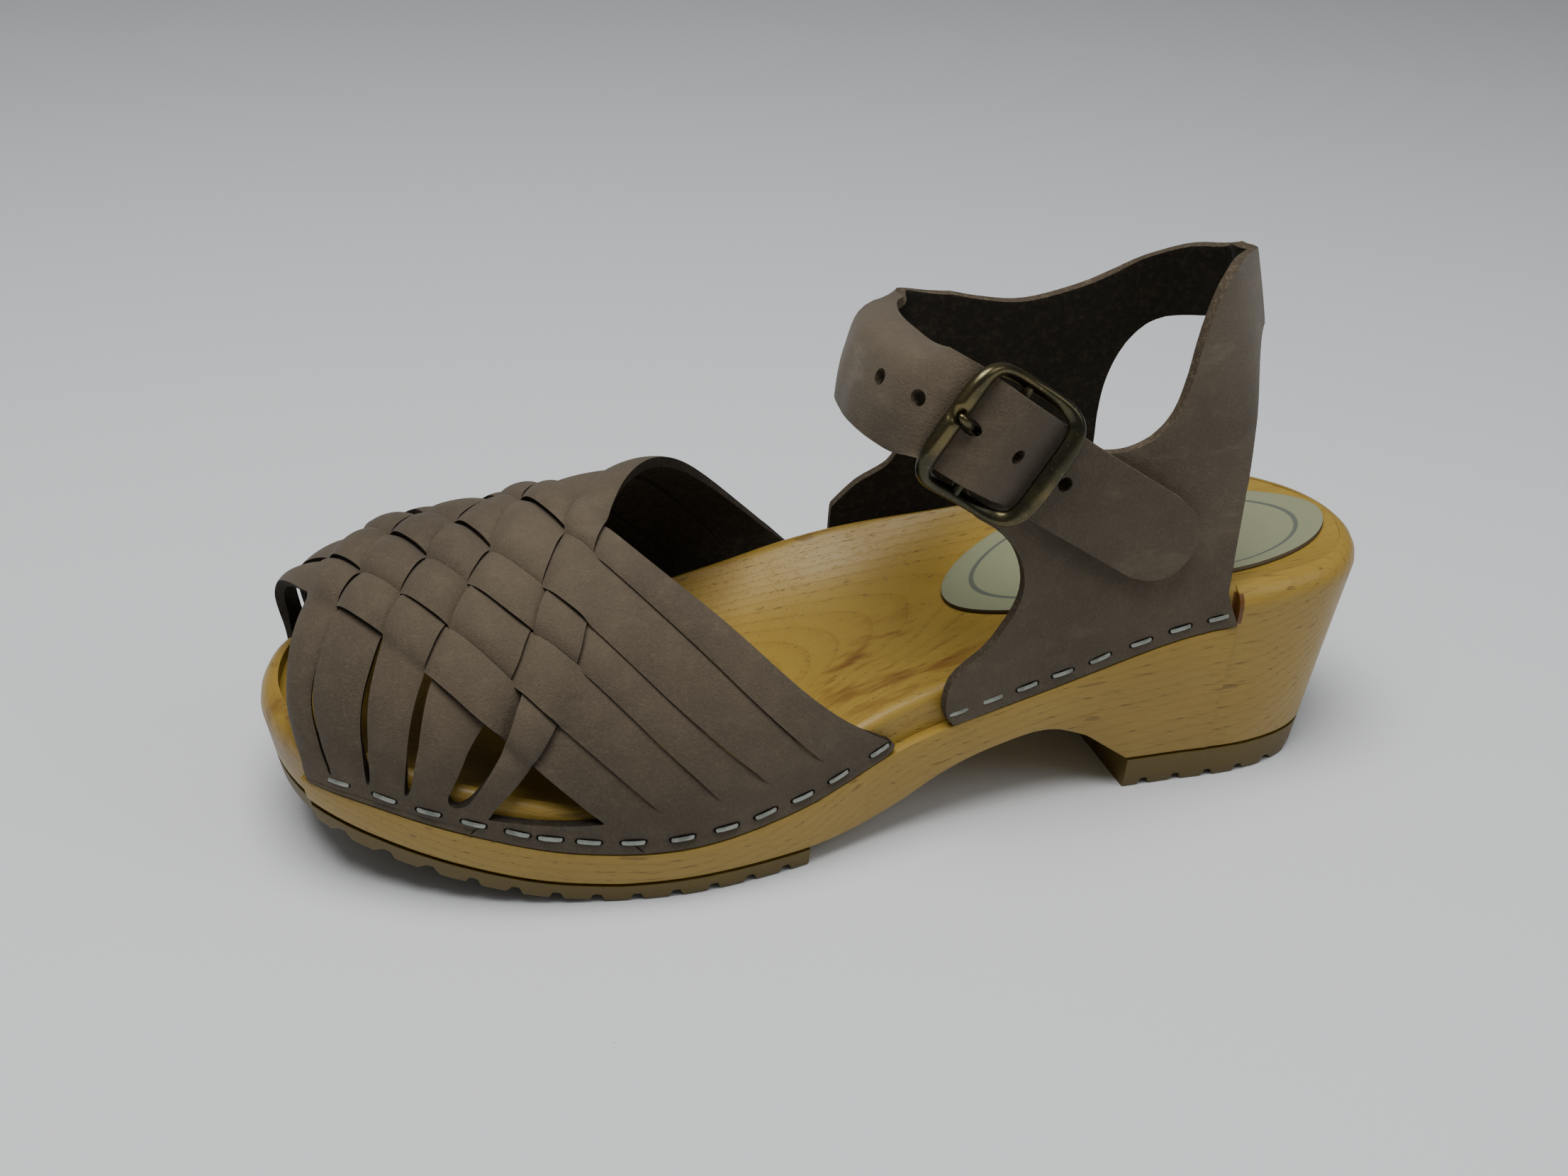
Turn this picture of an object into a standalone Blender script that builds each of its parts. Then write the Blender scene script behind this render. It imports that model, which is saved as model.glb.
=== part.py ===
import math

import bmesh
import bpy
import numpy as np
from mathutils import Matrix, Vector

# Left clog sandal. Lengths are in metres; +X points to the toe, +Y to the outer side, +Z up.
# The origin lies on the ground under the middle of the heel.
MM = 0.001

# Sole
SOLE_LENGTH = 247 * MM
HEEL_REACH = 37 * MM
BALL_WIDTH = 88 * MM
HEEL_HEIGHT = 50 * MM
HEEL_TREAD = 8 * MM
BALL_TREAD = 4.5 * MM
GROOVE_DEPTH = 1.6 * MM
GROOVE_WIDTH = 2.6 * MM
GROOVE_PITCH = 8 * MM
REBATE_HEIGHT = 8.5 * MM
RIM_ROUND = 2.2 * MM
DISH_POWER = 2.4
LABEL_THICKNESS = 0.9 * MM

# Leather
LEATHER = 2.3 * MM
GAP = 0.3 * MM
STRIP_SLIT = 1.0 * MM
BORDER_BACK = 11 * MM
BORDER_FRONT = 7 * MM
VAMP_CROWN = 76 * MM
COLLAR_RISE = 68 * MM

# Buckle and strap
STRAP_WIDTH = 18.5 * MM
BUCKLE_LENGTH = 26 * MM
BUCKLE_WIDTH = 30 * MM
BUCKLE_WIRE = 1.7 * MM
BAR_RADIUS = 1.2 * MM
FOLD_LEATHER = 1.4 * MM
FOLD_WIDTH = 15 * MM
PRONG_RADIUS = 0.9 * MM
STRAP_DIP = 0.5 * MM
FRAME_SWELL = 1.15
FRAME_SLIM = 0.8
FRAME_SQUARE = 0.5
HOLE_RADIUS = 1.6 * MM
HOLE_PITCH = 10 * MM

WELD = 0.000002
STATION_STEPS = 32
ACROSS_STEPS = 8

# Stations of the sole from heel to toe. along: share of the length; outer, inner: how far each edge
# lies from the middle line, in ball widths; rims and bed: heights in heel heights; tuck: how far the
# foot of the wall is drawn in, in heel heights
STATION_COLUMNS = ("along", "outer", "inner", "rim_outer", "rim_inner", "bed", "tuck")
STATIONS = (
    (0.000, 0.000, 0.000, 1.03, 1.03, 1.01, 0.18),
    (0.020, 0.188, 0.188, 1.03, 1.03, 1.00, 0.16),
    (0.060, 0.295, 0.295, 1.03, 1.03, 0.98, 0.12),
    (0.125, 0.347, 0.347, 1.02, 1.02, 0.95, 0.09),
    (0.220, 0.352, 0.352, 0.97, 1.00, 0.93, 0.09),
    (0.350, 0.352, 0.375, 0.79, 0.93, 0.82, 0.08),
    (0.480, 0.392, 0.425, 0.65, 0.82, 0.61, 0.06),
    (0.580, 0.466, 0.480, 0.50, 0.64, 0.43, 0.05),
    (0.670, 0.500, 0.511, 0.43, 0.51, 0.36, 0.05),
    (0.760, 0.480, 0.517, 0.45, 0.48, 0.36, 0.06),
    (0.850, 0.425, 0.494, 0.55, 0.54, 0.42, 0.08),
    (0.920, 0.330, 0.432, 0.63, 0.61, 0.50, 0.10),
    (0.970, 0.210, 0.341, 0.66, 0.64, 0.57, 0.12),
    (1.000, -0.068, 0.068, 0.66, 0.66, 0.62, 0.13),
)
REBATE_ENDS = (0.172, 0.972)
REBATE_STEP = 0.004

# Label on the heel seat: middle and half length as shares of the length, half width in ball widths
LABEL_CENTRE = 0.212
LABEL_REACH = 0.185
LABEL_HALF = 0.245

# Underside of the wood in front of the heel: share of the length, height over the ball in heel heights
UNDERSIDE_COLUMNS = ("along", "rise")
UNDERSIDE = (
    (0.298, 0.236),
    (0.332, 0.302),
    (0.389, 0.270),
    (0.437, 0.190),
    (0.482, 0.075),
    (0.530, 0.012),
    (0.570, 0.000),
    (0.730, 0.000),
    (0.790, 0.035),
    (0.850, 0.105),
    (0.920, 0.196),
    (0.980, 0.290),
    (1.040, 0.370),
)
BREAST = 0.253
TREAD_BACK = 0.563
LAND_START = 0.570
LAND_END = 0.730

# Ridge of the vamp: share of the length, height in vamp crowns, roundness of the section
RIDGE_COLUMNS = ("along", "height", "round")
RIDGE = (
    (0.480, 1.000, 1.75),
    (0.580, 1.010, 1.75),
    (0.640, 0.995, 1.75),
    (0.690, 0.955, 1.75),
    (0.750, 0.908, 1.78),
    (0.806, 0.858, 1.80),
    (0.862, 0.833, 1.85),
    (0.920, 0.776, 1.90),
    (0.968, 0.687, 1.90),
    (1.000, 0.630, 1.90),
)

# Cuts between the strips, from the toe to the throat: shares of the length at the outer border,
# a quarter of the way over, on the crown, three quarters over and at the inner border
CUT_COLUMNS = ("border", "rising", "crown", "falling", "far_border")
CUTS = (
    (0.737, 0.864, 0.947, 0.972, 0.964),
    (0.680, 0.806, 0.907, 0.955, 0.943),
    (0.632, 0.743, 0.856, 0.913, 0.919),
    (0.583, 0.702, 0.806, 0.874, 0.893),
    (0.538, 0.644, 0.745, 0.806, 0.862),
    (0.482, 0.605, 0.715, 0.761, 0.834),
)
CROWN_SHARE = 0.44
BORDER_BACK_ENDS = {1: 0.490, -1: 0.500}
BORDER_FRONT_END = 0.964
STRIP_COUNT = len(CUTS) - 1
WEAVE_SWING = 0.42
STRIP_ROOT = 0.035
STRIP_THICKNESS = 2.2 * MM
RUNG_PLACES = (-0.5, -0.22, 0.22, 0.5)

# Plan of the ankle piece from the near front round the heel to the far front. side: outer or inner;
# foot: share of the length at the rim; draw: how far inside the sole's edge, in ball widths;
# crown, crown_across: where the wall stands at the top of the collar
LOOP_COLUMNS = ("side", "foot", "draw", "crown", "crown_across")
LOOP = (
    (1, 0.480, 0.00, 0.480, 0.310),
    (1, 0.350, 0.00, 0.350, 0.310),
    (1, 0.250, 0.00, 0.245, 0.285),
    (1, 0.190, 0.00, 0.197, 0.215),
    (1, 0.164, 0.00, 0.177, 0.160),
    (1, 0.130, 0.16, 0.156, 0.100),
    (0, 0.101, 0.00, 0.143, 0.000),
    (-1, 0.130, 0.16, 0.156, -0.100),
    (-1, 0.164, 0.00, 0.177, -0.160),
    (-1, 0.190, 0.00, 0.197, -0.215),
    (-1, 0.250, 0.00, 0.250, -0.250),
    (-1, 0.350, 0.00, 0.350, -0.270),
    (-1, 0.480, 0.00, 0.480, -0.280),
)
QUARTER_FRONT = 0.447
QUARTER_BACK = 0.172

# Edges of the ankle piece: share of the length, height over the heel in collar rises
EDGE_COLUMNS = ("along", "level")
NEAR_FRONT = (
    (0.444, -0.210),
    (0.405, -0.075),
    (0.380, 0.100),
    (0.388, 0.215),
    (0.411, 0.309),
    (0.430, 0.355),
)
NEAR_TOP = (
    (0.388, 0.640),
    (0.352, 0.560),
    (0.326, 0.519),
    (0.302, 0.512),
    (0.277, 0.544),
    (0.262, 0.594),
    (0.247, 0.721),
    (0.241, 0.809),
    (0.231, 0.900),
    (0.215, 0.975),
    (0.190, 1.020),
)
FAR_TOP = (
    (0.150, 0.930),
    (0.184, 0.845),
    (0.219, 0.790),
    (0.261, 0.740),
    (0.308, 0.712),
    (0.348, 0.740),
    (0.380, 0.810),
)
FAR_FRONT = ((0.400, 0.520), (0.402, 0.300), (0.409, 0.132), (0.441, 0.044), (0.462, -0.044))
FAR_ARCH = (
    (0.212, -0.050),
    (0.209, 0.147),
    (0.211, 0.280),
    (0.208, 0.420),
    (0.195, 0.545),
    (0.175, 0.630),
    (0.150, 0.675),
)
NEAR_ARCH = ((0.148, 0.685), (0.166, 0.660), (0.180, 0.600), (0.183, 0.500), (0.181, 0.250), (0.176, 0.000))
REAR_BAND = (0.680, 0.975)
LOOP_HALF = 0.34
FAR_FOOT_FRONT = 0.462

# Middle line of the ankle strap from its root on the inner side round the front to its tip.
# along, across: shares of sole length and ball width; level: over the heel in collar rises;
# width: in strap widths
STRAP_COLUMNS = ("along", "across", "level", "width")
STRAP_WRAP = (
    (0.335, -0.308, 0.560, 1.10),
    (0.370, -0.306, 0.575, 1.24),
    (0.405, -0.296, 0.600, 1.30),
    (0.442, -0.258, 0.640, 1.32),
    (0.474, -0.170, 0.680, 1.34),
    (0.491, -0.030, 0.712, 1.34),
    (0.495, 0.130, 0.725, 1.28),
    (0.485, 0.270, 0.712, 1.12),
)
# How the strap rises over the bar: part of the buckle's half length, share of the rise
STRAP_HUMP = ((1.0, 0.0), (0.72, 0.08), (0.38, 0.68), (0.0, 1.0), (-0.38, 0.68), (-0.72, 0.08), (-1.0, 0.0))
BUCKLE_ALONG = 0.4255
BUCKLE_LEVEL = 0.598
STRAP_SLOPE = 33
STRAP_LEAN = 38
STRAP_TAIL = 56 * MM
STRAP_THICKNESS = 2.25 * MM
STRAP_FLAT = 0.33
ANKLE_MIDDLE = 0.36


def column(table, names, name):
    place = names.index(name)
    return [row[place] for row in table]


def flow(keys, values, at):
    """Smooth curve through the values at the keys."""
    keys = np.asarray(keys, float)
    values = np.asarray(values, float)
    slopes = np.gradient(values, keys)
    at = np.clip(np.asarray(at, float), keys[0], keys[-1])
    cell = np.clip(np.searchsorted(keys, at, side="right") - 1, 0, len(keys) - 2)
    step = keys[cell + 1] - keys[cell]
    part = (at - keys[cell]) / step
    rise = part * part * (3 - 2 * part)
    lead = part * (1 - part) ** 2
    tail = part * part * (part - 1)
    return (values[cell] * (1 - rise) + values[cell + 1] * rise
            + step * (slopes[cell] * lead + slopes[cell + 1] * tail))


def flow_through(points, count):
    """Points of a smooth curve through the given ones, evenly spaced along it."""
    points = np.asarray(points, float)
    keys = np.r_[0, np.cumsum(np.linalg.norm(np.diff(points, axis=0), axis=1))]
    at = np.linspace(0, keys[-1], count)
    return np.stack([flow(keys, points[:, axis], at) for axis in range(points.shape[1])], axis=1)


def turn_of(share):
    """Angle that spaces the stations closely at heel and toe, so that both ends come out round."""
    return np.arccos(1 - 2 * np.clip(np.asarray(share, float), 0, 1))


def station(name, along):
    turns = turn_of(column(STATIONS, STATION_COLUMNS, "along"))
    return flow(turns, column(STATIONS, STATION_COLUMNS, name), turn_of(along))


def place_along(along):
    return -HEEL_REACH + SOLE_LENGTH * np.asarray(along, float)


def edge_across(side, along):
    """Edge of the sole at a station, +Y on the outer side."""
    name = "outer" if side > 0 else "inner"
    return side * BALL_WIDTH * station(name, along)


def rim_height(side, along):
    name = "rim_outer" if side > 0 else "rim_inner"
    return HEEL_HEIGHT * station(name, along)


def ledge_height(side, along):
    return rim_height(side, along) - REBATE_HEIGHT


def bed_height(along, across):
    """Top of the wood at a point of the footbed, dished between its two rims."""
    outer = edge_across(1, along) - LEATHER - GAP - RIM_ROUND
    inner = edge_across(-1, along) + LEATHER + GAP + RIM_ROUND
    middle = (outer + inner) / 2
    spread = np.clip(np.abs(across - middle) / ((outer - inner) / 2), 0, 1)
    part = np.clip((across - inner) / (outer - inner), 0, 1)
    rim = rim_height(-1, along) * (1 - part) + rim_height(1, along) * part
    bed = HEEL_HEIGHT * station("bed", along)
    return bed + (rim - bed) * spread ** DISH_POWER


def underside_height(along):
    keys = column(UNDERSIDE, UNDERSIDE_COLUMNS, "along")
    rise = flow(keys, column(UNDERSIDE, UNDERSIDE_COLUMNS, "rise"), along)
    return BALL_TREAD + HEEL_HEIGHT * rise


def material(name, colour, roughness, metallic=0.0):
    finish = bpy.data.materials.new(name)
    finish.use_nodes = True
    shader = finish.node_tree.nodes["Principled BSDF"]
    shader.inputs["Base Color"].default_value = (*colour, 1)
    shader.inputs["Roughness"].default_value = roughness
    shader.inputs["Metallic"].default_value = metallic
    return finish


def new_object(name, mesh, collection, finish=None):
    thing = bpy.data.objects.new(name, mesh)
    collection.objects.link(thing)
    if finish:
        mesh.materials.append(finish)
    return thing


def mesh_of(name, shape):
    mesh = bpy.data.meshes.new(name)
    shape.to_mesh(mesh)
    shape.free()
    return mesh


def finish_shape(shape):
    bmesh.ops.remove_doubles(shape, verts=shape.verts, dist=WELD)
    bmesh.ops.dissolve_degenerate(shape, dist=WELD, edges=shape.edges)
    bmesh.ops.recalc_face_normals(shape, faces=shape.faces)
    return shape


def loft(rings, close_ends=True):
    """Closed skin over rings with equal numbers of points."""
    shape = bmesh.new()
    rows = [[shape.verts.new(point) for point in ring] for ring in rings]
    count = len(rows[0])
    for low, high in zip(rows, rows[1:]):
        for place in range(count):
            after = (place + 1) % count
            shape.faces.new((low[place], low[after], high[after], high[place]))
    if close_ends:
        shape.faces.new(list(reversed(rows[0])))
        shape.faces.new(rows[-1])
    return shape


def plate(name, outline, half, cutters):
    """Flat outline in X and Z, as thick as twice half along Y."""
    curve = bpy.data.curves.new(name, "CURVE")
    curve.dimensions = "2D"
    curve.fill_mode = "BOTH"
    curve.extrude = half
    spline = curve.splines.new("POLY")
    spline.points.add(len(outline) - 1)
    for point, (x, z) in zip(spline.points, outline):
        point.co = (x, z, 0, 1)
    spline.use_cyclic_u = True
    guide = bpy.data.objects.new(name, curve)
    cutters.objects.link(guide)
    solid = mesh_from(guide, cutters)
    solid.data.transform(Matrix.Rotation(math.pi / 2, 4, "X"))
    return hide_cutter(solid)


def mesh_from(curve_object, collection, finish=None):
    """Mesh object in place of a curve object, with its caps welded on."""
    bpy.context.view_layer.update()
    evaluated = curve_object.evaluated_get(bpy.context.evaluated_depsgraph_get())
    mesh = bpy.data.meshes.new_from_object(evaluated)
    shape = bmesh.new()
    shape.from_mesh(mesh)
    finish_shape(shape)
    shape.to_mesh(mesh)
    shape.free()
    name = curve_object.name
    place = curve_object.matrix_world.copy()
    bpy.data.objects.remove(curve_object)
    solid = new_object(name, mesh, collection, finish)
    solid.matrix_world = place
    return solid


def hide_cutter(solid):
    solid.hide_render = True
    solid.display_type = "WIRE"
    return solid


def combine(solid, other, operation):
    step = solid.modifiers.new(operation.lower() + " " + other.name, "BOOLEAN")
    step.operation = operation
    step.object = other
    step.solver = "EXACT"


def sole_stations():
    turns = np.linspace(0, math.pi, STATION_STEPS + 1)
    shares = list((1 - np.cos(turns)) / 2)
    shares += [REBATE_ENDS[0] - REBATE_STEP, REBATE_ENDS[0], REBATE_ENDS[1], REBATE_ENDS[1] + REBATE_STEP]
    shares = np.array(sorted(shares))
    wide = np.r_[True, np.diff(shares) > REBATE_STEP / 4]
    return shares[wide]


def ring_of_stations():
    """Side and station of each point round the sole, from the heel along the outer side and back."""
    shares = sole_stations()
    outer = [(1, share) for share in shares]
    inner = [(-1, share) for share in shares[-2:0:-1]]
    return outer + inner


def rim_outline(ring):
    return np.array([(place_along(along), edge_across(side, along)) for side, along in ring])


def inward(outline):
    """Unit directions in plan that point from the outline into the sole."""
    ahead = np.roll(outline, -1, axis=0) - outline
    behind = outline - np.roll(outline, 1, axis=0)
    ahead /= np.linalg.norm(ahead, axis=1)[:, None]
    behind /= np.linalg.norm(behind, axis=1)[:, None]
    along = ahead + behind
    along /= np.linalg.norm(along, axis=1)[:, None]
    return np.stack([along[:, 1], -along[:, 0]], axis=1)


def sole_rings():
    """Plan and heights of the rings that the wood and the treads share."""
    ring = ring_of_stations()
    outline = rim_outline(ring)
    normal = inward(outline)
    rebated = np.array([REBATE_ENDS[0] <= along <= REBATE_ENDS[1] for side, along in ring], float)[:, None]
    rim = np.array([rim_height(side, along) for side, along in ring])
    ledge = rim - REBATE_HEIGHT
    tuck = np.array([HEEL_HEIGHT * station("tuck", along) for side, along in ring])[:, None]
    foot = outline + normal * tuck
    slanted = foot + (outline - foot) * (ledge / rim)[:, None]
    ledge_plan = slanted * (1 - rebated) + outline * rebated
    return ring, outline, normal, rebated, rim, ledge, foot, ledge_plan


def raise_ring(plan, heights):
    heights = np.broadcast_to(heights, len(plan))
    return [Vector((x, y, z)) for (x, y), z in zip(plan, heights)]


def wall_ring(foot, ledge_plan, ledge, height):
    plan = foot + (ledge_plan - foot) * (height / ledge)[:, None]
    return raise_ring(plan, height)


def make_sole(collection, cutters):
    ring, outline, normal, rebated, rim, ledge, foot, ledge_plan = sole_rings()
    seat = outline + normal * rebated * (LEATHER + GAP)
    shoulder = RIM_ROUND * 0.3
    rings = [
        wall_ring(foot, ledge_plan, ledge, -HEEL_TREAD / 2),
        raise_ring(ledge_plan, ledge),
        raise_ring(ledge_plan + (seat - outline), ledge),
        raise_ring(seat, rim - RIM_ROUND),
        raise_ring(seat + normal * shoulder, rim - shoulder),
        raise_ring(seat + normal * RIM_ROUND, rim),
    ]
    shape = loft(rings, close_ends=False)
    shape.verts.ensure_lookup_table()
    count = len(ring)
    shape.faces.new([shape.verts[place] for place in reversed(range(count))])
    top = [shape.verts[count * (len(rings) - 1) + place] for place in range(count)]
    last = len(sole_stations()) - 1
    rows = [[top[0]] * (ACROSS_STEPS + 1)]
    for place in range(1, last):
        outer = top[place]
        inner = top[count - place]
        row = [outer]
        for step in range(1, ACROSS_STEPS):
            x, y = (outer.co.lerp(inner.co, (1 - math.cos(math.pi * step / ACROSS_STEPS)) / 2)).xy
            row.append(shape.verts.new((x, y, bed_height((x + HEEL_REACH) / SOLE_LENGTH, y))))
        rows.append(row + [inner])
    rows.append([top[last]] * (ACROSS_STEPS + 1))
    for back, front in zip(rows, rows[1:]):
        for step in range(ACROSS_STEPS):
            corners = [back[step], back[step + 1], front[step + 1], front[step]]
            face = list(dict.fromkeys(corners))
            shape.faces.new(face)
    wood = new_object("sole", mesh_of("sole", finish_shape(shape)), collection,
                      material("alder", (0.55, 0.33, 0.12), 0.35))
    combine(wood, underside_cutter(cutters), "DIFFERENCE")
    return wood


def underside_line():
    arch = np.linspace(UNDERSIDE[0][0], LAND_START, 15)
    spring = np.linspace(LAND_END, UNDERSIDE[-1][0], 12)
    return [(float(place_along(along)), float(underside_height(along))) for along in (*arch, *spring)]


def underside_cutter(cutters):
    deep = -HEEL_HEIGHT
    heel_end = float(place_along(-0.1))
    line = underside_line()
    corner = float(place_along(BREAST))
    outline = [(heel_end, deep), (heel_end, HEEL_TREAD), (corner, HEEL_TREAD)] + line
    outline.append((line[-1][0], deep))
    return plate("underside", outline, BALL_WIDTH, cutters)


def grooved(line, first, last):
    """Lower edge of a tread: the line with grooves cut up into it."""
    xs = np.array([point[0] for point in line])
    zs = np.array([point[1] for point in line])
    reach = math.ceil(SOLE_LENGTH / GROOVE_PITCH)
    centres = (np.arange(-reach, reach) + 0.5) * GROOVE_PITCH
    margin = GROOVE_PITCH * 0.6
    half = GROOVE_WIDTH / 2
    floor = GROOVE_WIDTH * 0.3
    centres = centres[(centres > first + margin) & (centres < last - margin)]
    marks = [(x, 0.0) for x in xs]
    for centre in centres:
        marks = [mark for mark in marks if abs(mark[0] - centre) > half * 1.5]
        marks += [(centre - half, 0.0), (centre - floor, 1.0), (centre + floor, 1.0), (centre + half, 0.0)]
    marks.sort()
    return [(x, float(np.interp(x, xs, zs)) + up * GROOVE_DEPTH) for x, up in marks]


def make_tread(name, upper, lower, finish, collection, cutters):
    """Rubber between two lines of the side view, inside the wall of the sole."""
    ring, outline, normal, rebated, rim, ledge, foot, ledge_plan = sole_rings()
    rings = [wall_ring(foot, ledge_plan, ledge, height) for height in (-HEEL_TREAD / 2, HEEL_HEIGHT * 0.6)]
    blank = loft(rings)
    tread = new_object(name, mesh_of(name, finish_shape(blank)), collection, finish)
    side_view = plate(name + " side", list(reversed(upper)) + lower, BALL_WIDTH, cutters)
    combine(tread, side_view, "INTERSECT")
    return tread


def make_treads(collection, cutters):
    rubber = material("gum rubber", (0.30, 0.22, 0.06), 0.6)
    back = float(place_along(-0.05))
    breast = float(place_along(BREAST)) - GAP
    upper = [(back, HEEL_TREAD - GAP), (breast, HEEL_TREAD - GAP)]
    lower = grooved([(back, 0.0), (breast - GAP * 4, 0.0)], float(place_along(0.04)), breast)
    heel = make_tread("heel_tread", upper, lower, rubber, collection, cutters)
    rear = float(place_along(TREAD_BACK))
    line = [(rear, BALL_TREAD)] + [point for point in underside_line() if point[0] > rear + GAP]
    upper = [(x, z - GAP) for x, z in line]
    ground = [(x, z - BALL_TREAD) for x, z in line]
    lower = grooved(ground, rear, float(place_along(0.99)))
    front = make_tread("forefoot_tread", upper, lower, rubber, collection, cutters)
    return heel, front


def make_label(collection):
    """Thin oval that follows the heel seat."""
    finish = material("label", (0.52, 0.52, 0.45), 0.5)
    shape = bmesh.new()
    centre = float(place_along(LABEL_CENTRE))
    reach = SOLE_LENGTH * LABEL_REACH
    half = BALL_WIDTH * LABEL_HALF
    rings = 5
    spokes = 28
    layers = []
    for lift in (2 * GAP, 2 * GAP + LABEL_THICKNESS):
        rows = []
        for ring in range(1, rings + 1):
            row = []
            for spoke in range(spokes):
                angle = 2 * math.pi * spoke / spokes
                x = centre + reach * ring / rings * math.cos(angle)
                y = half * ring / rings * math.sin(angle)
                z = float(bed_height((x + HEEL_REACH) / SOLE_LENGTH, y)) + lift
                row.append(shape.verts.new((x, y, z)))
            rows.append(row)
        z = float(bed_height((centre + HEEL_REACH) / SOLE_LENGTH, 0)) + lift
        hub = shape.verts.new((centre, 0, z))
        layers.append((hub, rows))
    for hub, rows in layers:
        for spoke in range(spokes):
            after = (spoke + 1) % spokes
            shape.faces.new((hub, rows[0][spoke], rows[0][after]))
            for low, high in zip(rows, rows[1:]):
                shape.faces.new((low[spoke], high[spoke], high[after], low[after]))
    under = layers[0][1][-1]
    over = layers[1][1][-1]
    for spoke in range(spokes):
        after = (spoke + 1) % spokes
        shape.faces.new((under[spoke], under[after], over[after], over[spoke]))
    return new_object("heel_label", mesh_of("heel_label", finish_shape(shape)), collection, finish)


def last_section(along):
    """Middle of the leather across the foot at a station: from the outer ledge over to the inner one."""
    outer = float(edge_across(1, along)) - LEATHER / 2
    inner = float(edge_across(-1, along)) + LEATHER / 2
    rim_out = float(rim_height(1, along))
    rim_in = float(rim_height(-1, along))
    keys = column(RIDGE, RIDGE_COLUMNS, "along")
    crown = VAMP_CROWN * float(flow(keys, column(RIDGE, RIDGE_COLUMNS, "height"), along))
    power = 2 / float(flow(keys, column(RIDGE, RIDGE_COLUMNS, "round"), along))
    sweep = np.linspace(0, math.pi, 73)
    swing = np.sign(np.cos(sweep)) * np.abs(np.cos(sweep)) ** power
    across = (outer + inner) / 2 + (outer - inner) / 2 * swing
    base = rim_out + (rim_in - rim_out) * (outer - across) / (outer - inner)
    height = base + (crown - (rim_out + rim_in) / 2) * np.abs(np.sin(sweep)) ** power
    across = np.r_[outer, across, inner]
    height = np.r_[rim_out - REBATE_HEIGHT + GAP, height, rim_in - REBATE_HEIGHT + GAP]
    girth = np.r_[0, np.cumsum(np.hypot(np.diff(across), np.diff(height)))]
    return across, height, girth


def on_last(along, share):
    across, height, girth = last_section(along)
    at = share * girth[-1]
    return np.array([float(place_along(along)), np.interp(at, girth, across), np.interp(at, girth, height)])


def last_frame(along, share):
    """Point of the last and its outward direction."""
    step = 0.004
    point = on_last(along, share)
    forward = on_last(along + step, share) - on_last(along - step, share)
    around = on_last(along, min(share + step, 1)) - on_last(along, max(share - step, 0))
    outward = np.cross(around, forward)
    return point, outward / np.linalg.norm(outward)


def weave_share(part):
    """Girth share at a part of a strip's way over the foot, whose crown lies towards the outer side."""
    half = 2 * part
    return CROWN_SHARE * half if part < 0.5 else CROWN_SHARE + (1 - CROWN_SHARE) * (half - 1)


def cut_line(cut, part):
    """Station of a cut at a part of its way over; cut counts from the toe and may lie between two."""
    keys = (0, 0.25, 0.5, 0.75, 1)
    low = min(int(cut), STRIP_COUNT - 1)
    mix = cut - low
    return float(flow(keys, CUTS[low], part)) * (1 - mix) + float(flow(keys, CUTS[low + 1], part)) * mix


def crossing(cut, strip):
    """Part of the way over at which a cut meets the middle line of a crossing strip."""
    low, high = 0.0, 1.0
    for trial in range(30):
        middle = (low + high) / 2
        ahead = cut_line(cut, middle) - cut_line(strip, 1 - middle)
        low, high = (middle, high) if ahead < 0 else (low, middle)
    return (low + high) / 2


def slit_share():
    return STRIP_SLIT / (SOLE_LENGTH * (CUTS[1][2] - CUTS[2][2]))


def border_width(along):
    back = CUTS[-1][0]
    part = (along - back) / (BORDER_FRONT_END - back)
    return BORDER_BACK + (BORDER_FRONT - BORDER_BACK) * part


def make_strip(number, mirrored):
    """One strip of the weave as a bent bar: its rungs lie along the strips that it crosses."""
    edges = (number + slit_share() / 2, number + 1 - slit_share() / 2)
    sign = 1 if mirrored else -1
    meets = [[crossing(edge, other + 0.5) for other in range(STRIP_COUNT)] for edge in edges]
    order = list(range(STRIP_COUNT))[::-1]
    places = [(0.0, 0.0), (0.15, 0.0), (0.32, 0.0)]
    for step, other in enumerate(order):
        over = 1 if (number + other) % 2 == (0 if mirrored else 1) else -1
        for place in RUNG_PLACES[:3] if step < STRIP_COUNT - 1 else RUNG_PLACES:
            places.append((step + 1 + place, over * math.cos(math.pi * place)))
    places += [(STRIP_COUNT + 0.68, 0.0), (STRIP_COUNT + 0.85, 0.0), (STRIP_COUNT + 1.0, 0.0)]
    rings = []
    for place, swing in places:
        corners = []
        for edge, meet in zip(edges, meets):
            keys = np.arange(STRIP_COUNT + 2)
            parts = np.r_[STRIP_ROOT, [meet[other] for other in order], 1 - STRIP_ROOT]
            part = float(flow(keys, parts, place))
            along = cut_line(edge, part)
            share = weave_share(part)
            if mirrored:
                share = weave_share(1 - part)
                part = 1 - part
                along = cut_line(edge, 1 - part)
            point, outward = last_frame(along, share)
            lift = swing * WEAVE_SWING * LEATHER
            thick = STRIP_THICKNESS / 2
            corners.append((point + outward * (lift + thick), point + outward * (lift - thick)))
        rings.append([corners[0][0], corners[0][1], corners[1][1], corners[1][0]])
    return finish_shape(loft(rings))


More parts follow.
